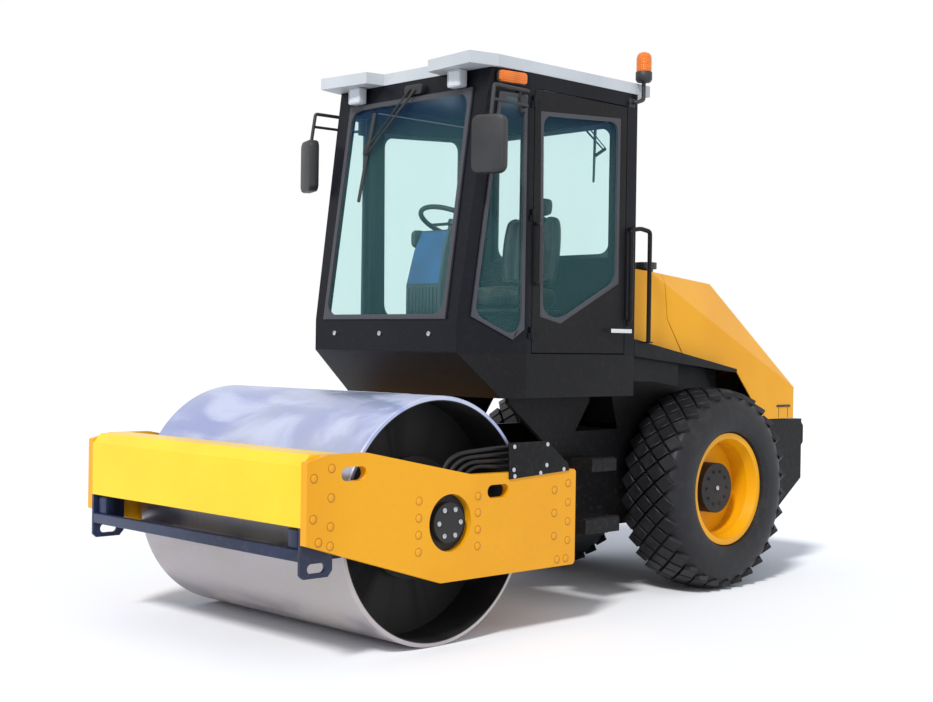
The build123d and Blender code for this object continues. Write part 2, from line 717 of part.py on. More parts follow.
# ---------------------------------------------------------------- hood
def hood_form(inset, floor):
    """The hood's closed outer form, or the space inside its sheet."""
    top = [
        (HOOD_FRONT_Y, HOOD_TOP_Z - inset),
        (2745, HOOD_TOP_Z - HOOD_TOP_FALL * (2745 - HOOD_FRONT_Y) - inset),
        (HOOD_REAR_Y - inset, 1195 - inset),
        (HOOD_REAR_Y - inset, floor),
        (HOOD_FRONT_Y, floor),
    ]
    form = side_sheet(top, -hood_half + inset, hood_half - inset)
    crease_front = Vector(hood_half, 2105, 1827)
    crease_rear = Vector(hood_half, HOOD_REAR_Y, 1195)
    kink = Vector(400, 2745, 1852)
    normal = (crease_rear - crease_front).cross(kink - crease_front).normalized()
    if normal.X < 0:
        normal = normal * -1
    origin = crease_front - normal * inset
    form = split(form, bisect_by=Plane(origin=origin, z_dir=normal), keep=Keep.BOTTOM)
    mirror_normal = Vector(-normal.X, normal.Y, normal.Z)
    mirror_origin = Vector(-origin.X, origin.Y, origin.Z)
    return split(form, bisect_by=Plane(origin=mirror_origin, z_dir=mirror_normal), keep=Keep.BOTTOM)


def hood():
    floor = COUNTERWEIGHT_TOP_Z + RUN_GAP
    outer = hood_form(0, floor)
    inner = hood_form(HOOD_WALL, floor - 10)
    shell = outer - inner
    reach = hood_half + 10
    rear = (HOOD_CORNER_Y, deck_z(HOOD_CORNER_Y))
    seam_foot = (HOOD_SEAM_FOOT_Y, deck_z(HOOD_SEAM_FOOT_Y))
    front_zone = side_sheet(
        [
            (HOOD_FRONT_Y - 10, deck_z(HOOD_FRONT_Y - 10)),
            (HOOD_FRONT_Y - 10, 2000),
            (HOOD_SEAM_Y, 2000),
            (HOOD_SEAM_Y, 1827),
            (HOOD_SEAM_Y + 28, 1614),
            seam_foot,
        ],
        -reach,
        reach,
    )
    gap = RUN_GAP
    lid_zone = side_sheet(
        [
            (HOOD_SEAM_Y + gap, 2000),
            (HOOD_REAR_Y + 10, 2000),
            (HOOD_REAR_Y + 10, floor),
            (3150, floor),
            (rear[0], rear[1] + gap),
            (seam_foot[0] + gap, seam_foot[1] + gap),
            (HOOD_SEAM_Y + 28 + gap, 1614),
            (HOOD_SEAM_Y + gap, 1827),
        ],
        -reach,
        reach,
    )
    lid = shell & lid_zone
    front = shell & front_zone
    for x in (-HOOD_HINGE_X, HOOD_HINGE_X):
        front += hood_knuckle(x - 40, x - SEAT_GAP, HOOD_HINGE_Y - 30, HOOD_HINGE_Y)
        front += rod_x(HOOD_HINGE_Y, hood_hinge_z, HOOD_KNUCKLE / 2, x - SEAT_GAP, x + 40)
        lid += hood_knuckle(x, x + 40, HOOD_HINGE_Y, HOOD_HINGE_Y + 30)
        lid -= rod_x(HOOD_HINGE_Y, hood_hinge_z, HOOD_KNUCKLE / 2 + SEAT_GAP, x, x + 40)
    write("hood", lid)
    write("hood_front", front)
    cap = rod_z(455, 2028, 45, 1860, 1925) + rod_z(455, 2028, 66, 1912, 1950)
    write("intake_cap", cap - outer)


HOOD_HINGE_X = 300
HOOD_HINGE_Y = HOOD_SEAM_Y + RUN_GAP / 2
HOOD_KNUCKLE = 9
hood_hinge_z = HOOD_TOP_Z - HOOD_TOP_FALL * (HOOD_HINGE_Y - HOOD_FRONT_Y) + HOOD_KNUCKLE + 1


def hood_knuckle(x0, x1, y0, y1):
    """Barrel of the hood's hinge with its leaf lying on the sheet."""
    leaf_z = hood_hinge_z - HOOD_KNUCKLE - 3
    leaf = block(x0, x1, y0, y1, leaf_z, hood_hinge_z - HOOD_KNUCKLE + 4)
    if y0 < HOOD_HINGE_Y:
        leaf += block(x0, x1, HOOD_HINGE_Y - 12, HOOD_HINGE_Y, leaf_z, hood_hinge_z)
        leaf -= block(x0, x1, HOOD_SEAM_Y, HOOD_HINGE_Y + 20, leaf_z - 5, hood_hinge_z - HOOD_KNUCKLE)
    else:
        leaf += block(x0, x1, HOOD_HINGE_Y, HOOD_HINGE_Y + 12, leaf_z, hood_hinge_z)
        leaf -= block(x0, x1, HOOD_HINGE_Y - 20, HOOD_SEAM_Y + RUN_GAP, leaf_z - 5, hood_hinge_z - HOOD_KNUCKLE)
    return leaf + rod_x(HOOD_HINGE_Y, hood_hinge_z, HOOD_KNUCKLE, x0, x1)


def engine_bay():
    engine = block(-280, 280, 2350, 3000, CHASSIS_TOP_Z, 1500)
    for y in (2420, 2900):
        engine += block(-385, 385, y - 35, y + 35, CHASSIS_TOP_Z, CHASSIS_TOP_Z + 16)
    write("engine", engine)
    write("radiator", block(-320, 320, 3200, 3300, COUNTERWEIGHT_TOP_Z, 1250))


def main():
    os.makedirs("parts", exist_ok=True)
    drum()
    drum_hubs()
    side_plate()
    axle_carriers()
    beams()
    scrapers()
    hose_cover()
    pivot_block()
    steering_cylinders()
    rear_frame()
    counterweight()
    rear_axle()
    wheels()
    cab()
    doors()
    cab_inside()
    cab_outside()
    fenders()
    steps()
    hood()
    engine_bay()


main()
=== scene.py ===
# %% [markdown]
# # Dressing a single-drum road roller
# The machine's structure comes packed from its CAD model: frame, drum, cab, hood, wheels and every
# joint. This notebook finishes it. Each step says what a piece or a finish is on the real machine,
# how it could be made, and why it is made this way. Everything is in metres, +X is the machine's
# left, +Y its rear, +Z up.

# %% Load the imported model
import math

import bmesh
import bpy
from mathutils import Matrix, Vector


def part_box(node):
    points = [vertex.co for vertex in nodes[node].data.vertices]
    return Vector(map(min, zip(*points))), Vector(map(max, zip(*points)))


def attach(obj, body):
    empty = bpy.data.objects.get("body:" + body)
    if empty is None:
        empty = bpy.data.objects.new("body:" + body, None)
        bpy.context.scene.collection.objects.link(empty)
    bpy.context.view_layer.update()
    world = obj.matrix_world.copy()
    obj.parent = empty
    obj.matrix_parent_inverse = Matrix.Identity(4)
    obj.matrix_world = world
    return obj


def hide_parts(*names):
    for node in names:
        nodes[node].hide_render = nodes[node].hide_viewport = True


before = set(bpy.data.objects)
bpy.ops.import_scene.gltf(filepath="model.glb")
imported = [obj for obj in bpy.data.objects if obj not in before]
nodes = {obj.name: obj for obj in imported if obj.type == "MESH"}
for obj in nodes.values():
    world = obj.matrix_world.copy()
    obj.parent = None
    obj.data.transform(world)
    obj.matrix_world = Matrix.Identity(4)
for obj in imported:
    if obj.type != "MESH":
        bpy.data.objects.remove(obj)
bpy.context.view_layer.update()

# %% [markdown]
# ## Camera
# The machine is seen from its front left, from about a standing person's chin height and nearly
# level. A wide lens close by would make the big drum bulge, so a long lens stands well back.

# %% Camera
CAMERA_PLACE = Vector((5.806, -6.0905, 1.446))
CAMERA_TURN = math.radians(45.69)  # to the left of +Y
CAMERA_DIP = math.radians(0.257)
CAMERA_ROLL = math.radians(0.843)
CAMERA_LENS = 55.1


def add_to_scene(name, data):
    """An object that shows some data: a camera, a lamp, a mesh or a curve."""
    added = bpy.data.objects.new(name, data)
    bpy.context.scene.collection.objects.link(added)
    return added


ahead = Vector((-math.sin(CAMERA_TURN), math.cos(CAMERA_TURN), -math.tan(CAMERA_DIP))).normalized()
level = ahead.to_track_quat("-Z", "Y").to_matrix()
rolled = (level @ Matrix.Rotation(CAMERA_ROLL, 3, "Z")).to_4x4()
camera_data = bpy.data.cameras.new("camera")
camera_data.lens = CAMERA_LENS
camera_data.sensor_width = 36
camera = add_to_scene("camera", camera_data)
camera.matrix_world = Matrix.Translation(CAMERA_PLACE) @ rolled
bpy.context.scene.camera = camera
print("camera lens", CAMERA_LENS, "place", tuple(round(v, 3) for v in CAMERA_PLACE))

# %% [markdown]
# ## Writing materials as sums
# Paint, steel and rubber are each a small network of nodes. Wiring them one by one hides what is
# meant, so a socket is wrapped in a class whose operators add the Math nodes: 1 - mask then reads
# as what it does. Any other node comes from one method.

# %% Sockets that take Python's operators
class Wire:
    """A socket of one material, or a number, that Python operators can work with."""

    def __init__(self, paint, socket):
        self.paint = paint
        self.socket = socket

    def _math(self, operation, *values):
        return self.paint.node("ShaderNodeMath", {"operation": operation}, values)

    def __add__(self, other):
        return self._math("ADD", self, other)

    def __sub__(self, other):
        return self._math("SUBTRACT", self, other)

    def __rsub__(self, other):
        return self._math("SUBTRACT", other, self)

    def __mul__(self, other):
        return self._math("MULTIPLY", self, other)

    __radd__ = __add__
    __rmul__ = __mul__

    def power(self, exponent):
        return self._math("POWER", self, exponent)

    def wave(self):
        return self._math("SINE", self)

    def above(self, low, high):
        """0 below low, 1 above high, smooth between."""
        settings = {"interpolation_type": "SMOOTHSTEP"}
        return self.paint.node("ShaderNodeMapRange", settings, {0: self, 1: low, 2: high})


# %% One material
class Paint:
    """One node material. node() adds any node; the other methods are used over and over."""

    def __init__(self, name):
        self.material = bpy.data.materials.new(name)
        self.material.use_nodes = True
        self.tree = self.material.node_tree
        self.tree.nodes.clear()
        self.output = self.tree.nodes.new("ShaderNodeOutputMaterial")
        coordinates = self.tree.nodes.new("ShaderNodeTexCoord")
        self.place = Wire(self, coordinates.outputs["Object"])
        split = self.node("ShaderNodeSeparateXYZ", {}, (self.place,), whole=True)
        self.x, self.y, self.z = (Wire(self, axis) for axis in split.outputs)

    def node(self, kind, settings, values, output=0, whole=False):
        made = self.tree.nodes.new(kind)
        for name, value in settings.items():
            setattr(made, name, value)
        pairs = values.items() if isinstance(values, dict) else enumerate(values)
        for key, value in pairs:
            socket = made.inputs[key]
            if isinstance(value, Wire):
                self.tree.links.new(value.socket, socket)
            elif isinstance(value, tuple) and socket.type == "RGBA":
                socket.default_value = (*value, 1)
            else:
                socket.default_value = value
        return made if whole else Wire(self, made.outputs[output])

    def noise(self, scale, detail=3.0, roughness=0.5, at=None, distortion=0.0):
        values = {"Vector": at or self.place, "Scale": scale, "Detail": detail,
                  "Roughness": roughness, "Distortion": distortion}
        return self.node("ShaderNodeTexNoise", {}, values)

    def stretched(self, x, y, z):
        """Object coordinates multiplied along each axis, so that a pattern on them runs long."""
        values = {0: self.place, 1: (x, y, z)}
        return self.node("ShaderNodeVectorMath", {"operation": "MULTIPLY"}, values)

    def mix(self, amount, first, second):
        values = {"Factor": amount, 6: first, 7: second}
        return self.node("ShaderNodeMix", {"data_type": "RGBA"}, values, output=2)

    def bump(self, height, distance, strength, under=None):
        values = {"Height": height, "Distance": distance, "Strength": strength}
        if under is not None:
            values["Normal"] = under
        return self.node("ShaderNodeBump", {}, values)

    def soft_edges(self, radius):
        return self.node("ShaderNodeBevel", {"samples": 4}, {"Radius": radius})

    def surface(self, shader):
        self.tree.links.new(shader.socket, self.output.inputs["Surface"])
        return self.material

    def finish(self, **values):
        inputs = {name.replace("_", " "): value for name, value in values.items()}
        return self.surface(self.node("ShaderNodeBsdfPrincipled", {}, inputs))


# %% Colours as they are seen
def srgb(*seen):
    """A colour as it is seen, 0 to 255, in the linear values that shaders take."""
    shares = (value / 255 for value in seen)
    return tuple(v / 12.92 if v <= 0.04045 else ((v + 0.055) / 1.055) ** 2.4 for v in shares)


print("mid grey", round(srgb(128, 128, 128)[0], 3))

# %% [markdown]
# ## Floor
# The floor is one matte, nearly white sheet, wide enough that its edge is never seen. A curved
# backdrop would do too, but a flat one keeps the machine's shadow clean on every side.

# %% Floor
FLOOR_WIDTH = 80.0


def make_floor():
    bpy.ops.object.select_all(action="DESELECT")
    bpy.ops.mesh.primitive_plane_add(size=FLOOR_WIDTH)
    floor = bpy.context.object
    floor.name = "floor"
    paint = Paint("floor")
    sheet = paint.node("ShaderNodeBsdfDiffuse", {}, {"Color": srgb(250, 250, 250)})
    floor.data.materials.append(paint.surface(sheet))
    print("floor", FLOOR_WIDTH, "m wide")


make_floor()

# %% [markdown]
# ## Light
# One large soft key stands in front of the drum, a little to the machine's left, so the front beam
# is the brightest yellow, helped by its lighter enamel that paints light on it, and the sides are a
# shade deeper. A weak, very soft fill opens the side's shadows. Suns light every piece alike,
# however long the machine is.

# %% Lamps
LAMPS = (  # name, direction of the light, strength, width in degrees
    ("key", (-0.42, 0.9, -0.95), 2.5, 9),
    ("fill", (-0.9, 0.1, -0.35), 0.35, 60),
)
for name, direction, strength, width in LAMPS:
    data = bpy.data.lights.new(name, "SUN")
    data.energy = strength
    data.angle = math.radians(width)
    lamp = add_to_scene(name, data)
    lamp.rotation_mode = "QUATERNION"
    lamp.rotation_quaternion = Vector(direction).to_track_quat("-Z", "Y")
print("lamps", [name for name, *_ in LAMPS])

# %% [markdown]
# The world is white for rays from the camera, or from shine and glass, and only a pale sky for the
# light that it casts. A white background that also lit the machine would wash its colours out.

# %% World
SKY_COLOUR = srgb(232, 240, 255)
SKY_STRENGTH = 0.62


def either(tree, first, second):
    """A mask that is 1 where one of two masks is."""
    larger = tree.nodes.new("ShaderNodeMath")
    larger.operation = "MAXIMUM"
    tree.links.new(first, larger.inputs[0])
    tree.links.new(second, larger.inputs[1])
    return larger.outputs[0]


def make_world():
    world = bpy.data.worlds.new("studio")
    world.use_nodes = True
    tree = world.node_tree
    sky = tree.nodes["Background"]
    sky.inputs["Color"].default_value = (*SKY_COLOUR, 1)
    sky.inputs["Strength"].default_value = SKY_STRENGTH
    white = tree.nodes.new("ShaderNodeBackground")
    white.inputs["Color"].default_value = (1, 1, 1, 1)
    rays = tree.nodes.new("ShaderNodeLightPath").outputs
    seen = either(tree, rays["Is Camera Ray"], rays["Is Glossy Ray"])
    choice = tree.nodes.new("ShaderNodeMixShader")
    tree.links.new(either(tree, seen, rays["Is Transmission Ray"]), choice.inputs[0])
    tree.links.new(sky.outputs[0], choice.inputs[1])
    tree.links.new(white.outputs[0], choice.inputs[2])
    tree.links.new(choice.outputs[0], tree.nodes["World Output"].inputs["Surface"])
    bpy.context.scene.world = world


make_world()
bpy.context.scene.view_settings.view_transform = "Standard"
print("sky", SKY_STRENGTH, "view", bpy.context.scene.view_settings.view_transform)

# %% [markdown]
# ## Enamel
# Paint on a machine is never one colour: it varies a little from panel to panel, carries a fine
# orange peel from the spray gun, and gathers dust low down. Edges of cut plate are never sharp
# either. All of that could be modelled or painted by hand; noise on Object coordinates does it for
# every plate at once, and a Bevel node rounds the edges in the shading.

# %% Enamel
PEEL_SCALE = 900.0
PLATE_EDGE = 0.003
DUST = srgb(150, 138, 118)
DUST_FROM, DUST_TO = 0.15, 1.3  # heights between which the dust thins out


def enamel(name, colour, shade, roughness, dust=0.12, gloss=0.35):
    """Sprayed paint: colour drifts to shade, and dust settles low down."""
    paint = Paint(name)
    drift = paint.noise(1.7, detail=4.0)
    body = paint.mix(drift.above(0.35, 0.65), colour, shade)
    specks = paint.noise(38.0, detail=6.0, roughness=0.65)
    low = 1 - paint.z.above(DUST_FROM, DUST_TO)
    settled = specks.above(0.5, 0.75) * (low * 0.75 + 0.25) * dust
    body = paint.mix(settled, body, DUST)
    peel = paint.noise(PEEL_SCALE, detail=1.0)
    waves = paint.noise(9.0, detail=2.0)
    normal = paint.bump(peel * 0.3 + waves, 0.0006, 0.25, paint.soft_edges(PLATE_EDGE))
    rough = paint.noise(24.0, detail=5.0) * 0.12 + (roughness - 0.06) + settled * 0.6
    return paint.finish(Base_Color=body, Roughness=rough, Normal=normal, Specular_IOR_Level=gloss)


# %% Enamels of the frame, cab, scraper and roof
yellow = enamel("yellow_enamel", srgb(234, 164, 10), srgb(228, 156, 6), 0.34, gloss=0.3)
# the front beam's yellow is a lighter copy of the frame yellow: painted light on its front
beam_yellow_painted_light = enamel("beam_yellow_painted_light_enamel", srgb(250, 206, 30), srgb(246, 198, 24), 0.32, dust=0.08)
# a deeper amber for the bolts' rims: painted shade round their heads
bolt_amber_painted_shade = enamel("bolt_amber_painted_shade_enamel", srgb(196, 122, 8), srgb(184, 112, 6), 0.4)
black = enamel("black_enamel", srgb(23, 23, 25), srgb(17, 17, 19), 0.4, gloss=0.15)
navy_black = enamel("navy_black_enamel", srgb(18, 19, 27), srgb(13, 14, 21), 0.3,
                    dust=0.08, gloss=0.15)
scraper_navy = enamel("scraper_navy_enamel", srgb(38, 50, 82), srgb(28, 36, 60), 0.36, dust=0.1)
roof_grey = enamel("roof_grey", srgb(196, 200, 202), srgb(186, 190, 193), 0.45, dust=0.1)
print("enamels", [m.name for m in (yellow, beam_yellow_painted_light, bolt_amber_painted_shade, black, navy_black,
                                   scraper_navy, roof_grey)])

# %% [markdown]
# ## Drum steel
# The drum is bare machined steel. Rolling over gravel draws fine rings round it and leaves dull
# films of dust that dry in patches, so roughness and colour both follow a noise that is stretched
# round the circumference. Its colour also holds painted reflections: blue sky in patches, paler
# where the films lie, and the beige floor low down, with some dust in that beige. One material does
# the whole drum: its distance from the axle tells the bare outside from the painted inside, which
# is darker than the black enamel, with painted shade of the drum's hollow.

# %% Measures of imported nodes
def middle_of(node):
    low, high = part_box(node)
    return (low + high) / 2


def half_size(node):
    low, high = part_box(node)
    return [(high[axis] - low[axis]) / 2 for axis in range(3)]


DRUM_AXLE = middle_of("drum")
DRUM_RADIUS = half_size("drum")[2]
print("drum axle", tuple(round(v, 4) for v in DRUM_AXLE), "radius", round(DRUM_RADIUS, 4))

# %% Drum steel
SKIN_FROM, SKIN_TO = 0.022, 0.018  # how far under the surface the bare steel begins
# the inside is near black, darker than the black enamel: black paint with painted shade
INSIDE_BLACK_AND_SHADE = srgb(12, 12, 13)


def drum_steel():
    paint = Paint("drum_steel")
    height, depth = paint.z - DRUM_AXLE.z, paint.y - DRUM_AXLE.y
    turn = paint.node("ShaderNodeMath", {"operation": "ARCTAN2"}, (height, depth))
    rings_at = paint.node("ShaderNodeCombineXYZ", {}, (paint.x * 90, turn * 1.2, 0.0))
    rings = paint.noise(1.0, detail=5.0, roughness=0.6, at=rings_at)
    film_at = paint.node("ShaderNodeCombineXYZ", {}, (paint.x * 1.6, turn * 1.9, 0.0))
    film = paint.noise(1.0, detail=7.0, roughness=0.58, at=film_at, distortion=0.6)
    film_and_painted_reflection = film.above(0.42, 0.62)
    painted_sky_patches = paint.noise(1.1, detail=3.0).above(0.4, 0.6)
    # painted sky reflection: the steel's colour is blue in patches
    body = paint.mix(painted_sky_patches, srgb(160, 168, 212), srgb(178, 184, 210))
    # painted reflection, paler where the dust films lie; the films also dull the roughness and shine
    body = paint.mix(film_and_painted_reflection * 0.75, body, srgb(200, 206, 226))
    # painted floor reflection: beige low down, with a little dust in patches
    painted_floor_reflection_and_dust = (1 - paint.z.above(0.35, 0.8)) * 0.8 + film.above(0.5, 0.7) * 0.15
    body = paint.mix(painted_floor_reflection_and_dust, body, srgb(186, 176, 168))
    body = paint.mix(rings.above(0.55, 0.8) * 0.35, body, srgb(120, 116, 124))
    from_axle = (height * height + depth * depth).power(0.5)
    outside = from_axle.above(DRUM_RADIUS - SKIN_FROM, DRUM_RADIUS - SKIN_TO)
    body = paint.mix(outside, INSIDE_BLACK_AND_SHADE, body)
    rough = film_and_painted_reflection * 0.22 + rings * 0.12 + 0.27 + (1 - outside) * 0.3
    normal = paint.bump(rings, 0.0004, 0.35, paint.soft_edges(0.002))
    shine = outside * (0.75 - film_and_painted_reflection * 0.45)
    return paint.finish(Base_Color=body, Roughness=rough, Metallic=shine, Normal=normal)


bare_steel = drum_steel()
print("drum steel", len(bare_steel.node_tree.nodes), "nodes")

# %% [markdown]
# ## Rubber and cast iron
# Tyres, seals and hoses are carbon-black rubber that greys where it weathers; only the grain's size
# differs. Axle, pivot and hubs are painted castings, with the grain of the sand mould under the
# paint. Both are noise bumps of different height, so each is a short recipe.

# %% Rubber and cast iron
def rubber(name, colour, grain):
    paint = Paint(name)
    grey = paint.noise(14.0, detail=6.0, roughness=0.6).above(0.45, 0.8)
    body = paint.mix(grey * 0.22, colour, srgb(74, 70, 68))
    rough = paint.noise(60.0, detail=4.0) * 0.15 + 0.42
    normal = paint.bump(paint.noise(grain, detail=4.0), 0.0006, 0.5)
    return paint.finish(Base_Color=body, Roughness=rough, Normal=normal, Specular_IOR_Level=0.3)


def sand_cast(name):
    paint = Paint(name)
    grains = paint.noise(260.0, detail=3.0)
    patches = paint.noise(6.0, detail=5.0).above(0.45, 0.7) * 0.5
    body = paint.mix(patches, srgb(36, 35, 36), srgb(52, 49, 48))
    normal = paint.bump(grains, 0.0008, 0.6, paint.soft_edges(0.004))
    rough = grains * 0.2 + 0.55
    return paint.finish(Base_Color=body, Roughness=rough, Metallic=0.2, Normal=normal)


tyre_rubber = rubber("tyre_rubber", srgb(24, 24, 28), 120.0)
seal_rubber = rubber("seal_rubber", srgb(66, 67, 72), 400.0)
hose_rubber = rubber("hose_rubber", srgb(24, 24, 26), 500.0)
cast_iron = sand_cast("cast_iron")
print("rubbers", [m.name for m in (tyre_rubber, seal_rubber, hose_rubber)], cast_iron.name)

# %% [markdown]
# ## Chrome, zinc and plastic
# Cylinder rods and door handles are chromed, small screws are zinc plated: bright metal with fine
# scratches that run one way. Moulded plastic has a pebbled skin from its mould, which Voronoi cells
# give more evenly than noise.

# %% Chrome, zinc and plastic
def bright(name, colour, roughness):
    paint = Paint(name)
    scratches = paint.noise(1.0, detail=4.0, at=paint.stretched(300, 20, 300))
    body = paint.mix(scratches.above(0.4, 0.7) * 0.2, colour, srgb(130, 130, 136))
    return paint.finish(Base_Color=body, Roughness=scratches * 0.1 + roughness, Metallic=1.0,
                        Normal=paint.soft_edges(0.0015))


def plastic(name, colour, roughness, grain=700.0):
    paint = Paint(name)
    pebble = paint.node("ShaderNodeTexVoronoi", {}, {"Vector": paint.place, "Scale": grain})
    fading = paint.noise(5.0, detail=4.0).above(0.4, 0.7) * 0.4
    body = paint.mix(fading, colour, srgb(58, 58, 60))
    normal = paint.bump(pebble, 0.0004, 0.4, paint.soft_edges(0.003))
    rough = paint.noise(30.0) * 0.1 + roughness
    return paint.finish(Base_Color=body, Roughness=rough, Normal=normal)


chrome = bright("chrome", srgb(225, 226, 230), 0.12)
zinc = bright("zinc_plate", srgb(198, 200, 204), 0.32)
black_plastic = plastic("black_plastic", srgb(30, 30, 33), 0.45)
vinyl = plastic("seat_vinyl", srgb(34, 34, 38), 0.5, 420.0)
print("plated", chrome.name, zinc.name, "moulded", black_plastic.name, vinyl.name)

# %% [markdown]
# ## Glass and lamp lenses
# Cab glass is pale green safety glass that is bluer at its head. Real refraction through two thin
# faces costs much and shows little, so the pane is a tinted see-through shader with a little of a
# shiny one over it. A lens is moulded with small prisms, which two crossed waves give as bumps.

# %% Cab glass
GLASS_TINT = (0.925, 0.99, 0.985)
GLASS_COVER = 0.045
HEAD_FROM, HEAD_TO = 2.45, 2.8  # heights between which the blue head band comes in


def tinted_glass(name):
    """Safety glass: it colours what is seen through it, and covers a little of it."""
    paint = Paint(name)
    streaks = paint.noise(1.0, detail=3.0, at=paint.stretched(3.0, 3.0, 0.8))
    head = paint.z.above(HEAD_FROM, HEAD_TO)
    body = paint.mix(head, srgb(120, 184, 188), srgb(60, 112, 178))
    shine = {"Base Color": body, "Roughness": 0.04}
    surface = paint.node("ShaderNodeBsdfPrincipled", {}, shine)
    through = paint.node("ShaderNodeBsdfTransparent", {}, {"Color": GLASS_TINT})
    cover = streaks * 0.03 + GLASS_COVER
    return paint.surface(paint.node("ShaderNodeMixShader", {}, {0: cover, 1: through, 2: surface}))


cab_glass = tinted_glass("cab_glass")
print("glass tint", GLASS_TINT)


# %% Lenses
def prism_lens(name, colour):
    """A moulded lens with a grid of small prisms."""
    paint = Paint(name)
    ribs = (paint.z * 600).wave() + (paint.x * 420).wave()
    normal = paint.bump(ribs, 0.0012, 0.5)
    body = paint.mix(ribs.above(0.6, 1.6) * 0.55, colour, tuple(c * 0.5 for c in colour))
    return paint.finish(Base_Color=body, Roughness=0.15, Normal=normal)


amber = prism_lens("amber_lens", srgb(232, 116, 20))
clear_lens = prism_lens("clear_lens", srgb(214, 220, 224))
print("lenses", amber.name, clear_lens.name)

# %% [markdown]
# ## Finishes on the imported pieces
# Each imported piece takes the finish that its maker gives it. Pieces of a family share the start of
# their name, so one short table of name starts does for all; the longest start that fits wins, and
# what no start fits is black enamel, as the rear frame and cab base are.

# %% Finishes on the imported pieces
FINISHED = (
    (bare_steel, "drum"),
    (hose_rubber, "drum_buffers"),
    (yellow, "side_plate rear_beam hood rim"),
    (beam_yellow_painted_light, "front_beam"),
    (navy_black, "cab_frame scraper_front"),
    (roof_grey, "roof"),
    (cab_glass, "windscreen quarter_windows rear_window door_glass"),
    (clear_lens, "work_lights"),
    (amber, "turn_signals beacon"),
    (black_plastic, "console steering_wheel mirrors intake_cap"),
    (vinyl, "seat"),
    (tyre_rubber, "tyre"),
    (chrome, "door_handle steering_rod"),
    (cast_iron, "wheel_hub rear_axle king_pin pivot_block axle_carriers drum_hubs scraper_rear "
                "engine radiator"),
)
finish_of_start = {start: finish for finish, starts in FINISHED for start in starts.split()}


def finish_of(node):
    starts = [start for start in finish_of_start if node.startswith(start)]
    return finish_of_start[max(starts, key=len)] if starts else black


for name, piece in nodes.items():
    piece.data.materials.clear()
    piece.data.materials.append(finish_of(name))
print("finishes", len(bpy.data.materials), "on", len(nodes), "nodes")

# %% [markdown]
# ## Working by hand in a script
# Everything below is shaped as it would be at the screen: a primitive is added at its size and
# place, its faces are picked and inset, extruded or bevelled, and modifiers are applied. Faces are
# picked by where they are and which way they look. A finished piece keeps its place in its mesh,
# with its object at the origin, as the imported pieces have.

# %% Picking faces
def object_mode():
    bpy.ops.object.mode_set(mode="OBJECT")


def work_on(piece):
    if bpy.context.object and bpy.context.object.mode == "EDIT":
        object_mode()
    bpy.ops.object.select_all(action="DESELECT")
    if piece:
        piece.select_set(True)
        bpy.context.view_layer.objects.active = piece


def pick(piece, test):
    """Open a piece in edit mode with the faces selected whose centre and normal pass the test."""
    work_on(piece)
    bpy.ops.object.mode_set(mode="EDIT")
    bpy.ops.mesh.select_mode(type="FACE")
    bpy.ops.mesh.select_all(action="DESELECT")
    mesh = bmesh.from_edit_mesh(piece.data)
    for face in mesh.faces:
        face.select_set(bool(test(face.calc_center_median(), face.normal)))
    bmesh.update_edit_mesh(piece.data)


def anywhere(centre, normal):
    return True


def looking(x, y, z, least=0.9):
    """A test that picks the faces looking along a direction."""
    return lambda centre, normal: normal.dot(Vector((x, y, z))) > least


# %% Adding and changing pieces
def start(primitive, **settings):
    """Add a primitive and keep its place in its mesh."""
    work_on(None)
    getattr(bpy.ops.mesh, f"primitive_{primitive}_add")(**settings)
    bpy.ops.object.transform_apply(location=True, rotation=True, scale=True)
    return bpy.context.object


def box_between(low, high):
    low, high = Vector(low), Vector(high)
    return start("cube", size=1, location=(low + high) / 2, scale=high - low)


def grow(distance_along):
    """Extrude the selected faces by a vector."""
    bpy.ops.mesh.extrude_region_move(TRANSFORM_OT_translate={"value": tuple(distance_along)})


def modify(piece, kind, **settings):
    work_on(piece)
    modifier = piece.modifiers.new(kind, kind)
    for name, value in settings.items():
        setattr(modifier, name, value)
    bpy.ops.object.modifier_apply(modifier=modifier.name)


def round_off(piece, width, segments=2):
    modify(piece, "BEVEL", width=width, segments=segments, limit_method="ANGLE",
           angle_limit=math.radians(35))


# %% Copying, joining and placing
HALF_TURN = Matrix.Rotation(math.pi, 4, "Z")
SIDES = (("left", 1), ("right", -1))


def copy_of(piece, name):
    return add_to_scene(name, piece.data.copy())


def joined(pieces):
    work_on(pieces[0])
    for piece in pieces:
        piece.select_set(True)
    bpy.ops.object.join()
    return bpy.context.object


def spread(master, places):
    """Copies of one modelled piece, each with its own mesh, at places given as matrices."""
    copies = []
    for place in places:
        copies.append(copy_of(master, master.name))
        copies[-1].data.transform(place)
    bpy.data.objects.remove(master)
    return joined(copies)


def at(x, y, z):
    """A point in millimetres from the floor under the middle of the drum."""
    return Vector((x / 1000, y / 1000 + DRUM_AXLE.y, z / 1000))


def moved(*offset):
    return Matrix.Translation(Vector(offset))


print("the drum's middle stands at", tuple(round(v, 4) for v in at(0, 0, 0)))

# %% [markdown]
# ## Handing a piece over
# A piece is handed over with its faces outwards, smooth where its surface is round, painted, named,
# and riding on the body that carries it. One function does this for all, so none is forgotten.

# %% Record slots
RECORD_SLOTS = {
    "frame_yellow": (yellow, beam_yellow_painted_light, bolt_amber_painted_shade),
    "cab_black": (black, navy_black),
    "steel_dark": (scraper_navy, cast_iron),
    "rod_chrome": (chrome, zinc),
    "tyre_black": (tyre_rubber,),
    "rubber_black": (seal_rubber, hose_rubber),
    "lamp_clear": (clear_lens,),
    "lens_amber": (amber,),
    "seat_fabric": (vinyl,),
}
slot_of = {finish.name: slot for slot, finishes in RECORD_SLOTS.items() for finish in finishes}


# %% Finishing a piece
def painted(piece, *finishes):
    for finish in finishes:
        piece.data.materials.append(finish)
    return piece


def paint_picked(piece, slot):
    """Give the picked faces the finish in one of the piece's slots."""
    piece.active_material_index = slot
    bpy.ops.object.material_slot_assign()


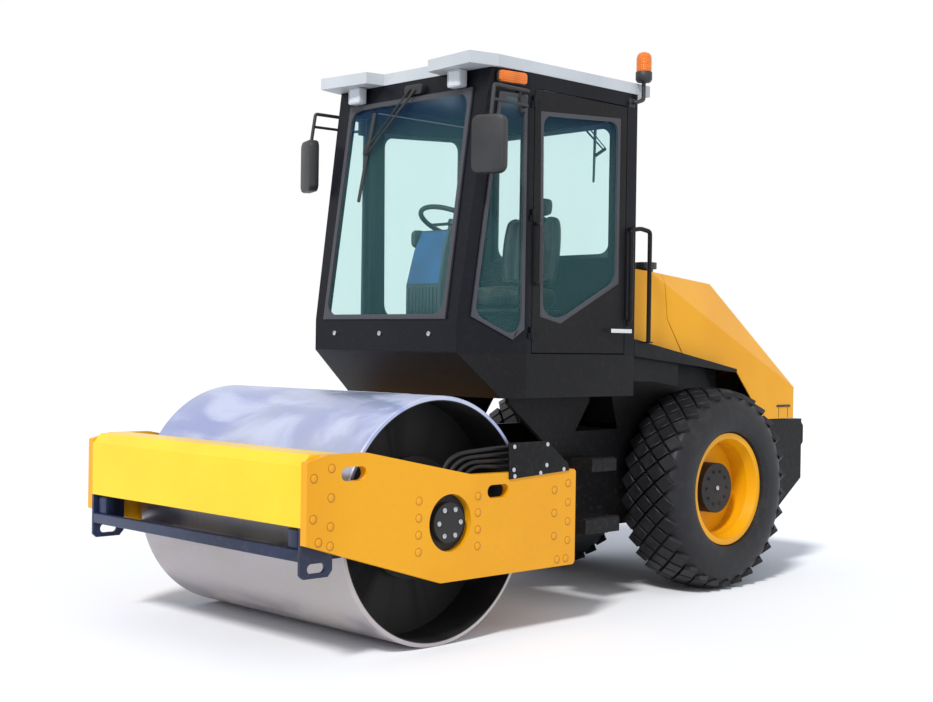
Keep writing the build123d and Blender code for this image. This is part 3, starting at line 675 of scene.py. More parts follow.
def finish_piece(piece, name, finish, body, stands_for=(), smooth=32):
    """Name, face outwards, shade and paint a piece, and let it ride on its body."""
    work_on(piece)
    bpy.ops.object.transform_apply(location=True, rotation=True, scale=True)
    bpy.ops.object.mode_set(mode="EDIT")
    bpy.ops.mesh.select_all(action="SELECT")
    bpy.ops.mesh.normals_make_consistent(inside=False)
    object_mode()
    bpy.ops.object.shade_smooth_by_angle(angle=math.radians(smooth))
    piece.name = piece.data.name = name
    if finish:
        piece.data.materials.clear()
        piece.data.materials.append(finish)
    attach(piece, body)
    if stands_for:
        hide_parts(*stands_for)
    piece.data.calc_loop_triangles()
    print(name, len(piece.data.loop_triangles), "triangles")
    return piece


# %% [markdown]
# ## Tyres
# A drive tyre for soil rolling carries five staggered rows of diamond lugs with plain walls beside
# them. The carcass could be a spun profile; here it is a short cylinder whose round ends are inset
# again and again, each ring a little further in or out, which gives shoulder, wall and bead. One
# lug is modelled and copied round the tyre, because the rows are one lug repeated.

# %% Carcass
WHEEL_AXLE = middle_of("tyre_left")
TYRE_HALF, _, TYRE_RADIUS = half_size("tyre_left")
LUG_HEIGHT = 0.03
SHOULDER_WIDTH = 0.046
SHOULDER_RINGS = (  # each ring's step inwards, and its step out of the wall
    (0.022, 0.022), (0.03, 0.018), (0.05, 0.012), (0.06, 0.002), (0.05, -0.006), (0.035, -0.012))


def carcass():
    body = start("cylinder", vertices=72, radius=TYRE_RADIUS - LUG_HEIGHT,
                 depth=2 * (TYRE_HALF - SHOULDER_WIDTH), rotation=(0, math.pi / 2, 0),
                 end_fill_type="NGON")
    for _, side in SIDES:
        pick(body, looking(side, 0, 0))
        for inward, outward in SHOULDER_RINGS:
            bpy.ops.mesh.inset(thickness=inward, depth=outward)
        bpy.ops.mesh.delete(type="FACE")
    bpy.ops.mesh.select_mode(type="EDGE")
    bpy.ops.mesh.select_non_manifold()
    bpy.ops.mesh.bridge_edge_loops()
    object_mode()
    modify(body, "SUBSURF", levels=1, render_levels=1)
    return body


print("tyre radius", round(TYRE_RADIUS, 4), "rings in each wall", len(SHOULDER_RINGS))

# %% Lugs
LUGS_ROUND = 30
LUG_SUNK = 0.0045
LUG_ROWS = (  # place across the tread, drop towards the shoulder, lean in degrees
    (-0.132, -0.012, -13), (-0.068, -0.0015, -4), (0.0, 0.0, 0), (0.068, -0.0015, 4),
    (0.132, -0.012, 13))


def lug():
    """A diamond block with a rounded top."""
    block = start("cylinder", vertices=4, radius=1, depth=LUG_HEIGHT + 0.004,
                  scale=(0.061, 0.055, 1))
    pick(block, looking(0, 0, 1))
    bpy.ops.mesh.inset(thickness=0.004)
    pick(block, looking(0, 0, 1))
    bpy.ops.transform.resize(value=(0.97, 0.97, 1))
    object_mode()
    round_off(block, 0.006, 1)
    return block


def tread():
    places = []
    for row, (across, rise, lean) in enumerate(LUG_ROWS):
        out = moved(across, 0, TYRE_RADIUS - LUG_SUNK - LUG_HEIGHT / 2 + rise)
        tilt = Matrix.Rotation(math.radians(lean), 4, "Y")
        for i in range(LUGS_ROUND):
            turn = 2 * math.pi * (i + row % 2 / 2) / LUGS_ROUND
            places.append(Matrix.Rotation(turn, 4, "X") @ out @ tilt)
    return spread(lug(), places)


# %% Treaded tyres
for (side, sign), turn in zip(SIDES, (Matrix.Identity(4), HALF_TURN)):
    tyre = joined([carcass(), tread()])
    tyre.data.transform(moved(sign * WHEEL_AXLE.x, WHEEL_AXLE.y, WHEEL_AXLE.z) @ turn)
    finish_piece(tyre, f"treaded_tyre_{side}", tyre_rubber, f"wheel_{side}", (f"tyre_{side}",),
                 smooth=38)

# %% [markdown]
# ## Hub caps
# The dark cap in the middle of the deep yellow dish has small screws round its edge and one bright
# plug. A plain disc would do from afar; close by, the sunk ring in each head is what makes it a
# screw. One dished screw is made by insets and copied round, and it turns with the wheel.

# %% Dished screws
def dished_screw(radius, height):
    """A low round head with a sunk ring and a small centre, standing on x = 0, looking along +X."""
    head = start("cylinder", vertices=16, radius=radius, depth=height,
                 location=(height / 2, 0, 0), rotation=(0, math.pi / 2, 0))
    pick(head, looking(1, 0, 0))
    bpy.ops.mesh.inset(thickness=radius * 0.24)
    bpy.ops.mesh.inset(thickness=radius * 0.1, depth=-height * 0.55)
    bpy.ops.mesh.inset(thickness=radius * 0.22)
    bpy.ops.mesh.inset(thickness=radius * 0.04, depth=height * 0.35)
    object_mode()
    return head


def facing(direction):
    """The turn that makes a screw that looks along +X look along a direction."""
    return Vector((1, 0, 0)).rotation_difference(Vector(direction)).to_matrix().to_4x4()


def screws(name, spots, direction, radius, height, finish, body, mirror=False):
    """One piece of like screws that face a direction; mirror adds the machine's other side."""
    places = [Matrix.Translation(spot) @ facing(direction) for spot in spots]
    if mirror:
        other = facing((-direction[0], *direction[1:]))
        places += [Matrix.Translation((-spot.x, spot.y, spot.z)) @ other for spot in spots]
    return finish_piece(spread(dished_screw(radius, height), places), name, finish, body)


def turns(count):
    return [2 * math.pi * i / count for i in range(count)]


# %% Hub screws and plugs
HUB_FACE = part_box("wheel_hub_left")[1].x
HUB_SCREWS, HUB_RING = 10, 0.1
for side, sign in SIDES:
    ring = [Vector((sign * HUB_FACE, WHEEL_AXLE.y + HUB_RING * math.cos(turn),
                    WHEEL_AXLE.z + HUB_RING * math.sin(turn))) for turn in turns(HUB_SCREWS)]
    screws(f"hub_screws_{side}", ring, (sign, 0, 0), 0.009, 0.006, cast_iron, f"wheel_{side}")
    centre = [Vector((sign * HUB_FACE, WHEEL_AXLE.y, WHEEL_AXLE.z))]
    screws(f"hub_plug_{side}", centre, (sign, 0, 0), 0.014, 0.008, zinc, f"wheel_{side}")

# %% [markdown]
# ## Bolts of the drum frame
# Broad flat bolts hold the side plates to the beams and to the axle carriers. They are painted over
# with the frame, so they take its yellow, with a darker amber rim that is painted shade round the
# low head. They could be a pattern in the paint, but then they would cast no edge in raking light.

# %% Plate bolts
PLATE_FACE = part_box("side_plate_left")[1].x
PLATE_BOLTS = (  # y and z of each, in millimetres
    (-823, 855), (-725, 895), (-726, 766), (-825, 678), (-728, 639), (-794, 575), (-729, 554),
    (-204, 717), (-204, 638), (-204, 559), (-204, 480), (182, 716), (182, 636), (182, 555),
    (182, 475), (730, 712), (730, 595), (730, 478), (755, 356), (833, 741), (833, 643),
    (833, 545), (833, 448), (822, 356))


def ring_bolt():
    """A broad flat head with a darker rim of painted shade, standing on x = 0 and looking along +X.
    """
    head = start("cylinder", vertices=24, radius=0.021, depth=0.001, location=(0.0005, 0, 0),
                 rotation=(0, math.pi / 2, 0))
    # the rim keeps the deeper amber, painted shade; the middle takes the frame yellow
    painted(head, bolt_amber_painted_shade, yellow)
    pick(head, looking(1, 0, 0))
    bpy.ops.mesh.inset(thickness=0.0045)
    paint_picked(head, 1)
    bpy.ops.mesh.inset(thickness=0.001, depth=0.0005)
    object_mode()
    return head


bolt_places = []
for y, z in PLATE_BOLTS:
    spot = at(0, y, z)
    bolt_places.append(moved(PLATE_FACE, spot.y, spot.z))
    bolt_places.append(moved(-PLATE_FACE, spot.y, spot.z) @ HALF_TURN)
finish_piece(spread(ring_bolt(), bolt_places), "plate_bolts", None, "drum_frame")

# %% [markdown]
# The hose cover, the drum motor's flange and the nose of the cab have small plated screws. They are
# the dished screw again, at their own sizes, each row set on the face of the piece it holds.

# %% Cover, motor and nose screws
COVER_BOLTS = ((425, 945), (667, 948), (422, 831), (429, 799), (662, 843), (617, 806), (792, 816))
COVER_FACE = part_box("hose_cover")[1].x
cover_spots = [Vector((COVER_FACE, *at(0, y, z).yz)) for y, z in COVER_BOLTS]
screws("cover_bolts", cover_spots, (1, 0, 0), 0.011, 0.0015, zinc, "drum_frame")

MOTOR_BOLTS, MOTOR_RING, MOTOR_Z = 6, 70, 600
MOTOR_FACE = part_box("axle_carriers")[1].x
motor_spots = [
    Vector((MOTOR_FACE,
            *at(0, MOTOR_RING * math.cos(turn), MOTOR_Z + MOTOR_RING * math.sin(turn)).yz))
    for turn in turns(MOTOR_BOLTS)]
screws("motor_bolts", motor_spots, (1, 0, 0), 0.012, 0.006, zinc, "drum_frame", mirror=True)

NOSE_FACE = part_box("cab_frame")[0].y
nose_spots = [Vector((x, NOSE_FACE, 1.500)) for x in (-0.4, -0.02, 0.37)]
screws("nose_bolts", nose_spots, (0, -1, 0), 0.013, 0.007, zinc, "rear_frame")

# %% [markdown]
# ## Window seals
# Each pane is held by a broad grey rubber lip with round corners. The lip follows the pane exactly
# when it is made from it: a copy of the pane keeps only its outer face, the face is inset, and the
# middle is taken away. Its inner corners are bevelled round, and Solidify gives the lip its height.

# %% A pane's outer face
MERGE = 0.0002


def merged_copy(node, name):
    """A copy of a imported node, open in edit mode, with its loose triangles joined."""
    copy = copy_of(nodes[node], name)
    pick(copy, anywhere)
    bpy.ops.mesh.remove_doubles(threshold=MERGE)
    return copy


def outer_face(node, direction, side):
    """A copy of a node's mesh that keeps only the faces that look one way."""
    copy = merged_copy(node, f"{node}_face")
    outward = looking(*direction, least=0.85)
    pick(copy, lambda centre, normal: not outward(centre, normal) or centre.x * side < 0)
    bpy.ops.mesh.delete(type="FACE")
    bpy.ops.mesh.select_all(action="SELECT")
    bpy.ops.mesh.dissolve_limited(angle_limit=math.radians(3))
    object_mode()
    return copy


# %% Seals round the panes
SEAL_HEIGHT = 0.014


def seal(name, node, direction, body, width, corner, side=0):
    lip = outer_face(node, direction, side)
    pick(lip, anywhere)
    bpy.ops.mesh.inset(thickness=width)
    mesh = bmesh.from_edit_mesh(lip.data)
    inner = [face for face in mesh.faces if face.select]
    corners = {vertex for face in inner for vertex in face.verts}
    for face in mesh.faces:
        face.select_set(False)
    bmesh.ops.delete(mesh, geom=inner, context="FACES_ONLY")
    bmesh.update_edit_mesh(lip.data)
    bpy.ops.mesh.select_mode(type="VERT")
    for vertex in corners:
        if vertex.is_valid:
            vertex.select_set(True)
    bmesh.update_edit_mesh(lip.data)
    bpy.ops.mesh.bevel(offset=corner, offset_type="OFFSET", segments=6, affect="VERTICES")
    object_mode()
    modify(lip, "SOLIDIFY", thickness=SEAL_HEIGHT, offset=0.6)
    round_off(lip, 0.004)
    return finish_piece(lip, name, seal_rubber, body)


seal("windscreen_seal", "windscreen", (0, -1, 0), "rear_frame", width=0.026, corner=0.07)
seal("rear_window_seal", "rear_window", (0, 1, 0), "rear_frame", width=0.026, corner=0.07)
for side, sign in SIDES:
    out = (sign, 0, 0)
    seal(f"quarter_seal_{side}", "quarter_windows", out, "rear_frame", 0.02, 0.05, sign)
    seal(f"door_seal_{side}", f"door_glass_{side}", out, f"door_{side}", 0.022, 0.06, sign)

# %% [markdown]
# ## Grab rails
# Grab rails, mirror arms and the beacon's stand are steel tube bent on a former. A quadratic spline
# stays straight along three points in line and turns smoothly at a corner, so each corner gets one
# point before it and one after it. Extruding a circle would need every ring turned by hand. The
# tube is made a mesh, and its ends are closed.

# %% Bent tubes
TUBE_ROUND, TUBE_STEPS = 3, 8  # how finely a tube is divided round its line, and along it
print("tube steps", TUBE_STEPS)


def spline_tube(name, spots, radius, steps):
    """A round tube whose line is one quadratic spline on these points."""
    curve = bpy.data.curves.new(name, "CURVE")
    curve.dimensions = "3D"
    curve.bevel_depth = radius
    curve.bevel_resolution = TUBE_ROUND
    curve.use_fill_caps = True
    spline = curve.splines.new("NURBS")
    spline.points.add(len(spots) - 1)
    for point, spot in zip(spline.points, spots):
        point.co = (*spot, 1)
    spline.order_u = 3
    spline.use_endpoint_u = True
    spline.resolution_u = steps
    return add_to_scene(name, curve)


def pipe(points, reach, radius):
    """A steel tube along points in millimetres, each corner rounded from reach metres before it."""
    spots = [at(*point) for point in points]
    route = [spots[0]]
    for before, corner, after in zip(spots, spots[1:], spots[2:]):
        route += [corner + (before - corner).normalized() * reach, corner,
                  corner + (after - corner).normalized() * reach]
    route.append(spots[-1])
    work_on(spline_tube("pipe", route, radius, TUBE_STEPS))
    bpy.ops.object.convert(target="MESH")
    pick(bpy.context.object, anywhere)
    bpy.ops.mesh.remove_doubles(threshold=0.0001)
    object_mode()
    return bpy.context.object


# %% Grab rails
def both_sides(piece):
    """The same piece and its mirror image on the machine's right."""
    other = copy_of(piece, piece.name)
    other.data.transform(Matrix.Diagonal((-1, 1, 1, 1)))
    return joined([piece, other])


def plate_mm(low, high, edge=0.003):
    """A plate between two corners in millimetres, with eased edges."""
    block = box_between(at(*low), at(*high))
    round_off(block, edge)
    return block


rail = pipe([(648, 1625, 1572), (674, 1625, 1598), (674, 1625, 2108), (674, 1708, 2120),
             (674, 1790, 2108), (674, 1790, 1474)], reach=0.04, radius=0.013)
rail_foot = plate_mm((646, 1600, 1545), (652, 1650, 1600))
rail_shoe = plate_mm((655, 1770, 1470), (693, 1810, 1478))
finish_piece(both_sides(joined([rail, rail_foot, rail_shoe])), "grab_rails", black, "rear_frame",
             ("handrails",), smooth=50)
for side, sign in SIDES:
    root, grip = sign * 651, sign * 678
    bar = pipe([(root, 866, 1775), (grip, 866, 1775), (grip, 866, 2090), (root, 866, 2090)],
               reach=0.022, radius=0.01)
    finish_piece(bar, f"door_grab_{side}", black_plastic, f"door_{side}", smooth=50)

# %% [markdown]
# ## Mirrors
# A tall moulded head hangs from a bent arm with a brace under it. The head could be a sculpted
# shell; a box with four wide corners and eased edges is the same moulding with fewer faces. Its
# rear face is inset and sunk a little, and that face alone takes the mirror finish.

# %% Boxes with wide corners
def rounded_box(low, high, corner, axis, edge):
    """A box with its four edges along one axis rounded wide and all its edges a little."""
    block = box_between(low, high)
    work_on(block)
    bpy.ops.object.mode_set(mode="EDIT")
    bpy.ops.mesh.select_mode(type="EDGE")
    bpy.ops.mesh.select_all(action="DESELECT")
    mesh = bmesh.from_edit_mesh(block.data)
    for line in mesh.edges:
        run = (line.verts[0].co - line.verts[1].co).normalized()
        line.select_set(abs(run["XYZ".index(axis)]) > 0.9)
    bmesh.update_edit_mesh(block.data)
    bpy.ops.mesh.bevel(offset=corner, segments=5)
    object_mode()
    round_off(block, edge)
    return block


# %% Mirror heads and arms
MIRROR_TOE = math.radians(21)
MIRROR_HALF = Vector((0.0925, 0.03, 0.1485))
mirror_glass = bright("mirror_glass", srgb(205, 212, 216), 0.05)


def mirror_head():
    head = rounded_box(-MIRROR_HALF, MIRROR_HALF, 0.042, "Y", 0.013)
    painted(head, black_plastic, mirror_glass)
    pick(head, looking(0, 1, 0, least=0.98))
    bpy.ops.mesh.inset(thickness=0.006)
    bpy.ops.mesh.inset(thickness=0.001, depth=-0.003)
    paint_picked(head, 1)
    object_mode()
    toe = Matrix.Rotation(MIRROR_TOE, 4, "Z")
    head.data.transform(Matrix.Translation(at(730, 420, 2458)) @ toe)
    return head


mirror_arm = pipe([(640, 738, 2765), (712, 722, 2765), (725, 453, 2765), (729, 428, 2600)],
                  reach=0.03, radius=0.01)
mirror_brace = pipe([(640, 738, 2690), (706, 724, 2690), (727, 441, 2690)],
                    reach=0.03, radius=0.008)
mirror_clamp = plate_mm((636, 718, 2665), (659, 758, 2785))
mirror_steel = [
    painted(steel, black_plastic) for steel in (mirror_arm, mirror_brace, mirror_clamp)]
finish_piece(both_sides(joined([mirror_head(), *mirror_steel])), "mirror_heads", None, "rear_frame",
             ("mirrors",), smooth=40)

# %% [markdown]
# ## Work lamps and turn signals
# A work lamp is a grey housing with a bezel and a clear lens sunk in it; a turn signal is a long
# amber lens on a black base. Both are boxes with wide corners. The lamp's lens is its own front
# face, inset and sunk, so no seam can open between the two.

# %% Work lamps
def work_lamp():
    lamp = rounded_box(at(356, 472, 2790), at(454, 525, 2882), 0.012, "Y", 0.004)
    painted(lamp, roof_grey, clear_lens)
    pick(lamp, looking(0, -1, 0, least=0.98))
    bpy.ops.mesh.inset(thickness=0.003)
    bpy.ops.mesh.inset(thickness=0.001, depth=-0.005)
    paint_picked(lamp, 1)
    bpy.ops.mesh.inset(thickness=0.002, depth=0.003)
    object_mode()
    return lamp


finish_piece(both_sides(work_lamp()), "work_lamp_heads", None, "rear_frame", ("work_lights",))


# %% Turn signals
def turn_signal():
    """Black base against the cab's narrowing side, amber lens on it."""
    base = rounded_box((-0.008, -0.094, -0.034), (0.004, 0.094, 0.034), 0.018, "X", 0.002)
    lens = rounded_box((0.004, -0.09, -0.03), (0.022, 0.09, 0.03), 0.016, "X", 0.006)
    signal = joined([painted(base, black_plastic), painted(lens, amber)])
    along_side = Matrix.Rotation(math.radians(-8), 4, "Z")
    signal.data.transform(Matrix.Translation(at(638, 668, 2838)) @ along_side)
    return signal


finish_piece(both_sides(turn_signal()), "turn_signal_lenses", None, "rear_frame",
             ("turn_signals",))

# %% [markdown]
# ## Beacon
# The beacon is an amber dome in a cup on a bent stand at the cab's rear corner. Cup and dome are
# turned shapes. Spin would need a profile of edges first; here a circle is extruded upward and
# scaled ring by ring, and the rings read like a turner's list of radii and heights.

# %% Turned shapes
TURNED_SIDES = 28
print("turned pieces have", TURNED_SIDES, "sides")


def turned(rings, spot):
    """A solid of revolution: a circle extruded and scaled through rings of (radius, height)."""
    radius, height = rings[0]
    solid = start("circle", vertices=TURNED_SIDES, radius=radius, fill_type="NGON",
                  location=(0, 0, height))
    pick(solid, anywhere)
    for (before, low), (after, high) in zip(rings, rings[1:]):
        grow((0, 0, high - low))
        ratio = after / before
        bpy.ops.transform.resize(value=(ratio, ratio, 1), center_override=(0, 0, 0))
    object_mode()
    solid.data.transform(Matrix.Translation(spot))
    return solid


# %% Beacon
CUP_RINGS = ((0.036, 0), (0.04, 0.003), (0.047, 0.014), (0.047, 0.055), (0.043, 0.06))
DOME_RINGS = ((0.042, 0), (0.043, 0.004), (0.043, 0.03), (0.042, 0.034), (0.043, 0.038),
              (0.043, 0.075), (0.039, 0.092), (0.03, 0.104), (0.015, 0.11), (0.001, 0.1115))
stand = pipe([(648, 1640, 2830), (684, 1640, 2830), (684, 1700, 2850), (684, 1700, 2965)],
             reach=0.03, radius=0.012)
stand_foot = plate_mm((646, 1615, 2805), (653, 1665, 2855))
cup = turned(CUP_RINGS, at(684, 1700, 2950))
dome = painted(turned(DOME_RINGS, at(684, 1700, 3010)), amber)
beacon_steel = [painted(steel, black_plastic) for steel in (stand, stand_foot, cup)]
finish_piece(joined([*beacon_steel, dome]), "beacon_lamp", None, "rear_frame", ("beacon",),
             smooth=40)

# %% [markdown]
# ## Wipers
# Two thin arms run from the motor on the header to one long blade, which lies on the glass. A bent
# tube would look too round: a pressed arm is flat and narrows to its tip. Each bar is therefore a
# box scaled long and drawn in at its far end.

# %% Wiper bars
def tapered_bar(from_point, to_point, width, depth, tip=0.6):
    """A flat bar between two points in millimetres, narrower at its end."""
    first, last = at(*from_point), at(*to_point)
    run = last - first
    bar = start("cube", size=1, scale=(width, depth, run.length))
    pick(bar, looking(0, 0, 1))
    bpy.ops.transform.resize(value=(tip, tip, 1))
    object_mode()
    round_off(bar, min(width, depth) * 0.2, 1)
    turn = Vector((0, 0, 1)).rotation_difference(run).to_matrix().to_4x4()
    bar.data.transform(Matrix.Translation((first + last) / 2) @ turn)
    return bar


# %% Front and rear wiper
front_wiper = joined([
    rounded_box(at(-20, 506, 2795), at(120, 560, 2850), 0.02, "Y", 0.005),
    tapered_bar((75, 500, 2818), (-282, 470, 2500), 0.014, 0.009),
    tapered_bar((35, 500, 2826), (-300, 474, 2525), 0.01, 0.008),
    tapered_bar((-272, 516, 2730), (-318, 444, 2230), 0.013, 0.022, tip=0.8),
    tapered_bar((-280, 478, 2550), (-302, 470, 2495), 0.026, 0.024, tip=1.0),
])
finish_piece(front_wiper, "front_wiper", black_plastic, "rear_frame")
rear_wiper = joined([
    rounded_box(at(150, 1684, 2760), at(240, 1712, 2800), 0.015, "Y", 0.004),
    tapered_bar((191, 1714, 2772), (395, 1708, 2585), 0.013, 0.008),
    tapered_bar((225, 1714, 2776), (403, 1708, 2600), 0.009, 0.007),
    tapered_bar((326, 1702, 2725), (318, 1702, 2408), 0.012, 0.018, tip=0.8),
    tapered_bar((405, 1706, 2600), (315, 1706, 2560), 0.018, 0.012, tip=1.0),
])
finish_piece(rear_wiper, "rear_wiper", black_plastic, "rear_frame")

# %% [markdown]
# ## Driver's seat
# The seat is three pads on a pedestal: cushion, back and headrest. Their cover is grained vinyl
# that has browned in its folds.

# %% Vinyl with grain and folds
def seat_cover():
    paint = Paint("seat_cover")
    grain = paint.node("ShaderNodeTexVoronoi", {"feature": "DISTANCE_TO_EDGE"},
                       {"Vector": paint.place, "Scale": 420.0})
    folds = paint.noise(16.0, detail=5.0, roughness=0.6)
    body = paint.mix(folds.above(0.42, 0.68) * 0.6, srgb(40, 38, 38), srgb(92, 70, 56))
    normal = paint.bump(grain * 0.6 + folds * 2.0, 0.0016, 0.6)
    return paint.finish(Base_Color=body, Roughness=folds * 0.2 + 0.32, Normal=normal)


sewn_vinyl = seat_cover()
slot_of[sewn_vinyl.name] = "seat_fabric"
print("seat cover", sewn_vinyl.name)

# %% [markdown]
# Each pad is a block divided finely, swollen in its middle and drawn in along its sewn channels by
# moving its points, then smoothed. A pressure simulation would also fill it, but this keeps each
# pad inside its own space and its channels where they are sewn.

# %% Pads
CORNER_DRAW = 0.055
CHANNEL_DEPTH, CHANNEL_WIDTH = 0.02, 0.045
THIN = 0.08  # a pad with less than this half depth has channels on all its faces
LEAST_HALF = 0.04  # a pad thinner than this swells as one of this half thickness does
SEAT_PADS = (  # name, corners in millimetres, crown, channels, lean in degrees
    ("seat_cushion", (-225, 1135, 1655), (225, 1550, 1790), 0.016, (-0.55, 0.55), 0.0),
    ("seat_back", (-218, 1475, 1795), (218, 1555, 2215), 0.014, (-0.5, 0.5), -6.0),
    ("seat_headrest", (-100, 1545, 2215), (100, 1602, 2322), 0.01, (), -4.0),
)


def filled(spot, half, crown, channels):
    """Where a point of a cube from -1 to 1 lies on a filled pad of the given half size."""
    u, v, w = spot
    full = spot * (1 - CORNER_DRAW * ((u * u * v * v) + (v * v * w * w) + (u * u * w * w)))
    for axis, (a, b) in enumerate(((v, w), (u, w), (u, v))):
        if abs(spot[axis]) > 0.99:
            swell = crown * (1 - a ** 4) * (1 - b ** 4) - crown
            if axis == 2 or half.y < THIN:
                swell -= CHANNEL_DEPTH * sum(
                    math.exp(-((u - channel) / CHANNEL_WIDTH) ** 2) for channel in channels)
            full[axis] *= 1 + swell / max(half[axis], LEAST_HALF)
    return Vector((full.x * half.x, full.y * half.y, full.z * half.z))


def pad(low, high, crown, channels, lean):
    """A crowned cushion between two corners in millimetres, with sewn channels across it."""
    low, high = at(*low), at(*high)
    middle, half = (low + high) / 2, (high - low) / 2
    cushion = start("cube", size=2)
    pick(cushion, anywhere)
    bpy.ops.mesh.subdivide(number_cuts=15)
    object_mode()
    for vertex in cushion.data.vertices:
        vertex.co = filled(vertex.co.copy(), half, crown, channels)
    tilt = Matrix.Rotation(math.radians(lean), 4, "X")
    cushion.data.transform(Matrix.Translation(middle) @ tilt)
    modify(cushion, "SUBSURF", levels=1, render_levels=1)
    return cushion


for name, low, high, crown, channels, lean in SEAT_PADS:
    cushion = pad(low, high, crown, channels, lean)
    finish_piece(cushion, name, sewn_vinyl, "rear_frame", smooth=60)

# %% [markdown]
# The pedestal holds the springs behind a pleated boot. The boot is a box drawn up in four steps,
# each inset a little, which leaves a pleat at every step. A pan carries the cushion, and a post
# carries the headrest.

# %% Seat pedestal
PLEATS, PLEAT_RISE, PLEAT_INSET = 4, 0.03, 0.008
pedestal = plate_mm((-190, 1190, 1404), (190, 1500, 1500), 0.02)
pick(pedestal, looking(0, 0, 1, least=0.98))
bpy.ops.mesh.inset(thickness=0.03)
for _ in range(PLEATS):
    grow((0, 0, PLEAT_RISE))
    bpy.ops.mesh.inset(thickness=PLEAT_INSET)
object_mode()
pan = plate_mm((-205, 1150, 1628), (205, 1560, 1654), 0.01)
post = plate_mm((-50, 1556, 2150), (50, 1572, 2260), 0.004)
finish_piece(joined([pedestal, pan, post]), "seat_pedestal", black_plastic, "rear_frame",
             ("seat",))

# %% [markdown]
# ## Console
# The console stands behind the windscreen: a louvred grey foot, and above it a sloping blue cover.
# It could be several boxes set together, but a moulding has no such seams: it is drawn up from one
# box in two steps, and the cover is the inset front face of the upper step. A pod with switches
# stands on its side.

# %% Console
console_blue = plastic("console_blue", srgb(52, 92, 142), 0.42)
console_grey = plastic("console_grey", srgb(54, 62, 66), 0.5)


def console_body():
    body = box_between(at(-140, 645, 1404), at(140, 800, 1765))
    pick(body, looking(0, 0, 1))
    grow((0, 0.035, 0.2))
    bpy.ops.transform.resize(value=(0.9, 0.86, 1), center_override=at(0, 755, 1965))
    grow((0, 0.02, 0.115))
    bpy.ops.transform.resize(value=(0.92, 0.62, 1), center_override=at(0, 785, 2080))
    object_mode()
    painted(body, console_grey, console_blue)
    pick(body, lambda centre, normal: normal.y < -0.8 and centre.z > 1.77)
    bpy.ops.mesh.inset(thickness=0.012, depth=0.004)
    paint_picked(body, 1)
    object_mode()
    round_off(body, 0.01, 3)
    return body


def slat():
    strip = box_between((-0.006, -0.006, -0.08), (0.006, 0.006, 0.08))
    round_off(strip, 0.003)
    return painted(strip, console_grey)


slats = spread(slat(), [Matrix.Translation(at(x, 642, 1680)) for x in range(-112, 113, 28)])
pod = rounded_box(at(-166, 700, 1985), at(-132, 800, 2085), 0.03, "X", 0.012)
painted(pod, console_grey)
finish_piece(joined([console_body(), slats, pod]), "console_cover", None, "rear_frame",
             ("console",))

# %% [markdown]
# ## Hood latch
# The hood's side has a recessed pull near its tail, with a pressed line at each end of it. The
# lines are thin black strips, painted shade in their grooves. Pressing them into the imported hood
# would change its mesh, so they stand on it as thin pieces of their own.

# %% Hood latch
LATCH_Y, LATCH_Z = 3385, 1073


def hood_latch():
    pull = rounded_box(at(536, LATCH_Y - 78, LATCH_Z - 6), at(545, LATCH_Y + 78, LATCH_Z + 8),
                       0.006, "X", 0.001)
    # the pressed lines are black: painted shade of their grooves
    painted_shade_lines = [plate_mm((539, LATCH_Y + y - 2, LATCH_Z - 76), (541.5, LATCH_Y + y + 2, LATCH_Z - 10),
                      0.0005) for y in (-52, 52)]
    return joined([pull, *painted_shade_lines])


finish_piece(both_sides(hood_latch()), "hood_latches", black_plastic, "hood")

# %% [markdown]
# ## Louvres in the hood's tail
# Warm air leaves through louvres pressed in the slope over the radiator. Each is a low lip with a
# black strip under it, painted shade in place of its open mouth. Cutting real slots is not needed,
# because behind the mouth it is dark anyway.

# %% Louvres
LOUVRES, FIRST_LOUVRE, LOUVRE_PITCH = 7, 0.3, 0.085  # pitch as a share of the slope
TAIL_TOP, TAIL_FOOT = at(0, 2745, 1852), at(0, 3505, 1195)
tail_run = TAIL_FOOT - TAIL_TOP
tail_tilt = Matrix.Rotation(math.atan2(tail_run.z, tail_run.y), 4, "X")


def hood_louvre():
    """A pressed louvre: a low hood that opens downhill."""
    lip = box_between((-0.26, -0.014, -0.001), (0.26, 0.014, 0.006))
    pick(lip, looking(0, 0, 1))
    bpy.ops.transform.resize(value=(0.97, 0.4, 1), center_override=(0, 0.012, 0))
    object_mode()
    # painted shade: a thin black strip where the louvre's mouth would open
    painted_shade_mouth = box_between((-0.25, 0.0135, -0.001), (0.25, 0.019, 0.002))
    round_off(painted_shade_mouth, 0.001, 1)
    return joined([painted(lip, yellow), painted(painted_shade_mouth, black_plastic)])


louvre_places = [
    Matrix.Translation(TAIL_TOP + tail_run * (FIRST_LOUVRE + LOUVRE_PITCH * i)) @ tail_tilt
    for i in range(LOUVRES)]
finish_piece(spread(hood_louvre(), louvre_places), "hood_louvres", None, "hood")

# %% [markdown]
# ## Hydraulic hoses
# Four hoses leave the drum motor, rise, bend over and run together under the cover, where a clamp
# holds them. Both their ends are fixed to the drum frame. A hose is stiff and never kinks, so each
# is one smooth spline of its own length, each inside the last.

# %% Hoses and their clamp
HOSES, HOSE_RADIUS, HOSE_STEPS = 4, 0.011, 10


def hose_route(i):
    """The points of one hose in millimetres, from its port on the motor to the cover."""
    y, z, end = -11 + 40 * i, 740 - 22 * i, 938 - 33 * i
    return [(862, y, z), (858, y, z + 55), (862, y + 30, z + 137), (868, y + 98, z + 180),
            (868, y + 230 - 12 * i, z + 190 - 5 * i), (868, 430, end + 2), (868, 690, end)]


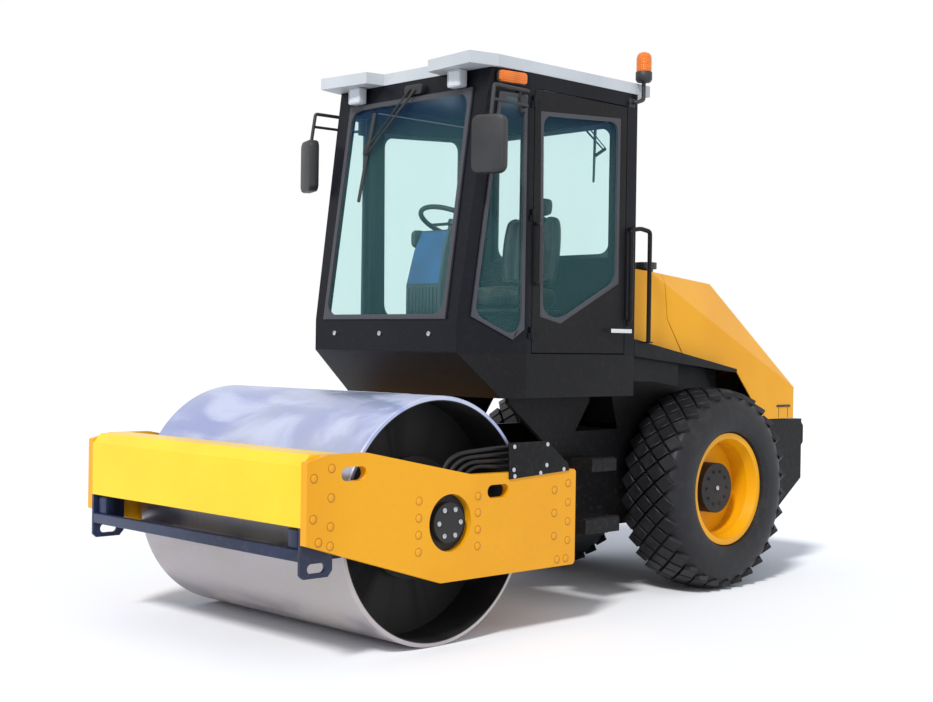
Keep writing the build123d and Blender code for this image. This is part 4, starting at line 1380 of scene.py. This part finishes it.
for i in range(HOSES):
    spots = [at(*point) for point in hose_route(i)]
    hose = spline_tube(f"drum_hose_{i}", spots, HOSE_RADIUS, HOSE_STEPS)
    painted(hose, hose_rubber)
    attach(hose, "drum_frame")
    print(hose.name, round(hose.data.splines[0].calc_length(), 3), "m")
hose_clamp = plate_mm((848, 640, 815), (882, 700, 955), 0.004)
finish_piece(hose_clamp, "hose_clamp", black, "drum_frame")

# %% [markdown]
# ## Front scraper
# A navy square bar runs across the drum between two slotted lugs, with clamp blocks beside them and
# a thin blade low behind it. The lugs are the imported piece's own ends: a copy is cut just inside
# each lug and closed, which keeps their slots true. Bar, blocks and blade are modelled new.

# %% Scraper bar, lugs and blade
LUG_CUT = 0.8672


def scraper_lug(side):
    """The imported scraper's lug on one side, cut off and closed."""
    end = merged_copy("scraper_front", "scraper_lug")
    bpy.ops.mesh.select_all(action="SELECT")
    bpy.ops.mesh.bisect(plane_co=(side * LUG_CUT, 0, 0), plane_no=(side, 0, 0), use_fill=True,
                        clear_inner=True)
    object_mode()
    return end


bar = rounded_box(at(-868, -861, 488), at(868, -821, 540), 0.006, "X", 0.002)
blade = plate_mm((-838, -824, 480), (838, -593, 488), 0.001)
blocks = []
for _, sign in SIDES:
    low, high = sorted((sign * 773, sign * 841))
    blocks.append(rounded_box(at(low, -845, 536), at(high, -795, 630), 0.012, "X", 0.004))
finish_piece(joined([scraper_lug(1), scraper_lug(-1), bar, blade, *blocks]), "front_scraper",
             scraper_navy, "drum_frame", ("scraper_front",))

# %% [markdown]
# ## Step teeth
# Each step has a row of cut teeth along its edge for grip. They could be cut from the edge with a
# boolean; one small box drawn in at its top and copied along the row is lighter and as sharp.

# %% Teeth on the steps
TOOTH_PITCH = 18
TOOTH_ROWS = ((1350, 1545, 816), (1300, 1578, 487))  # first y, last y and height, in millimetres


def tooth():
    point = box_between((-0.02, -0.006, 0), (0.0, 0.006, 0.012))
    pick(point, looking(0, 0, 1))
    bpy.ops.transform.resize(value=(0.8, 0.35, 1))
    object_mode()
    return point


tooth_places = [Matrix.Translation(at(648, y, z)) for first, last, z in TOOTH_ROWS
                for y in range(first, last, TOOTH_PITCH)]
finish_piece(both_sides(spread(tooth(), tooth_places)), "step_teeth", black, "rear_frame")
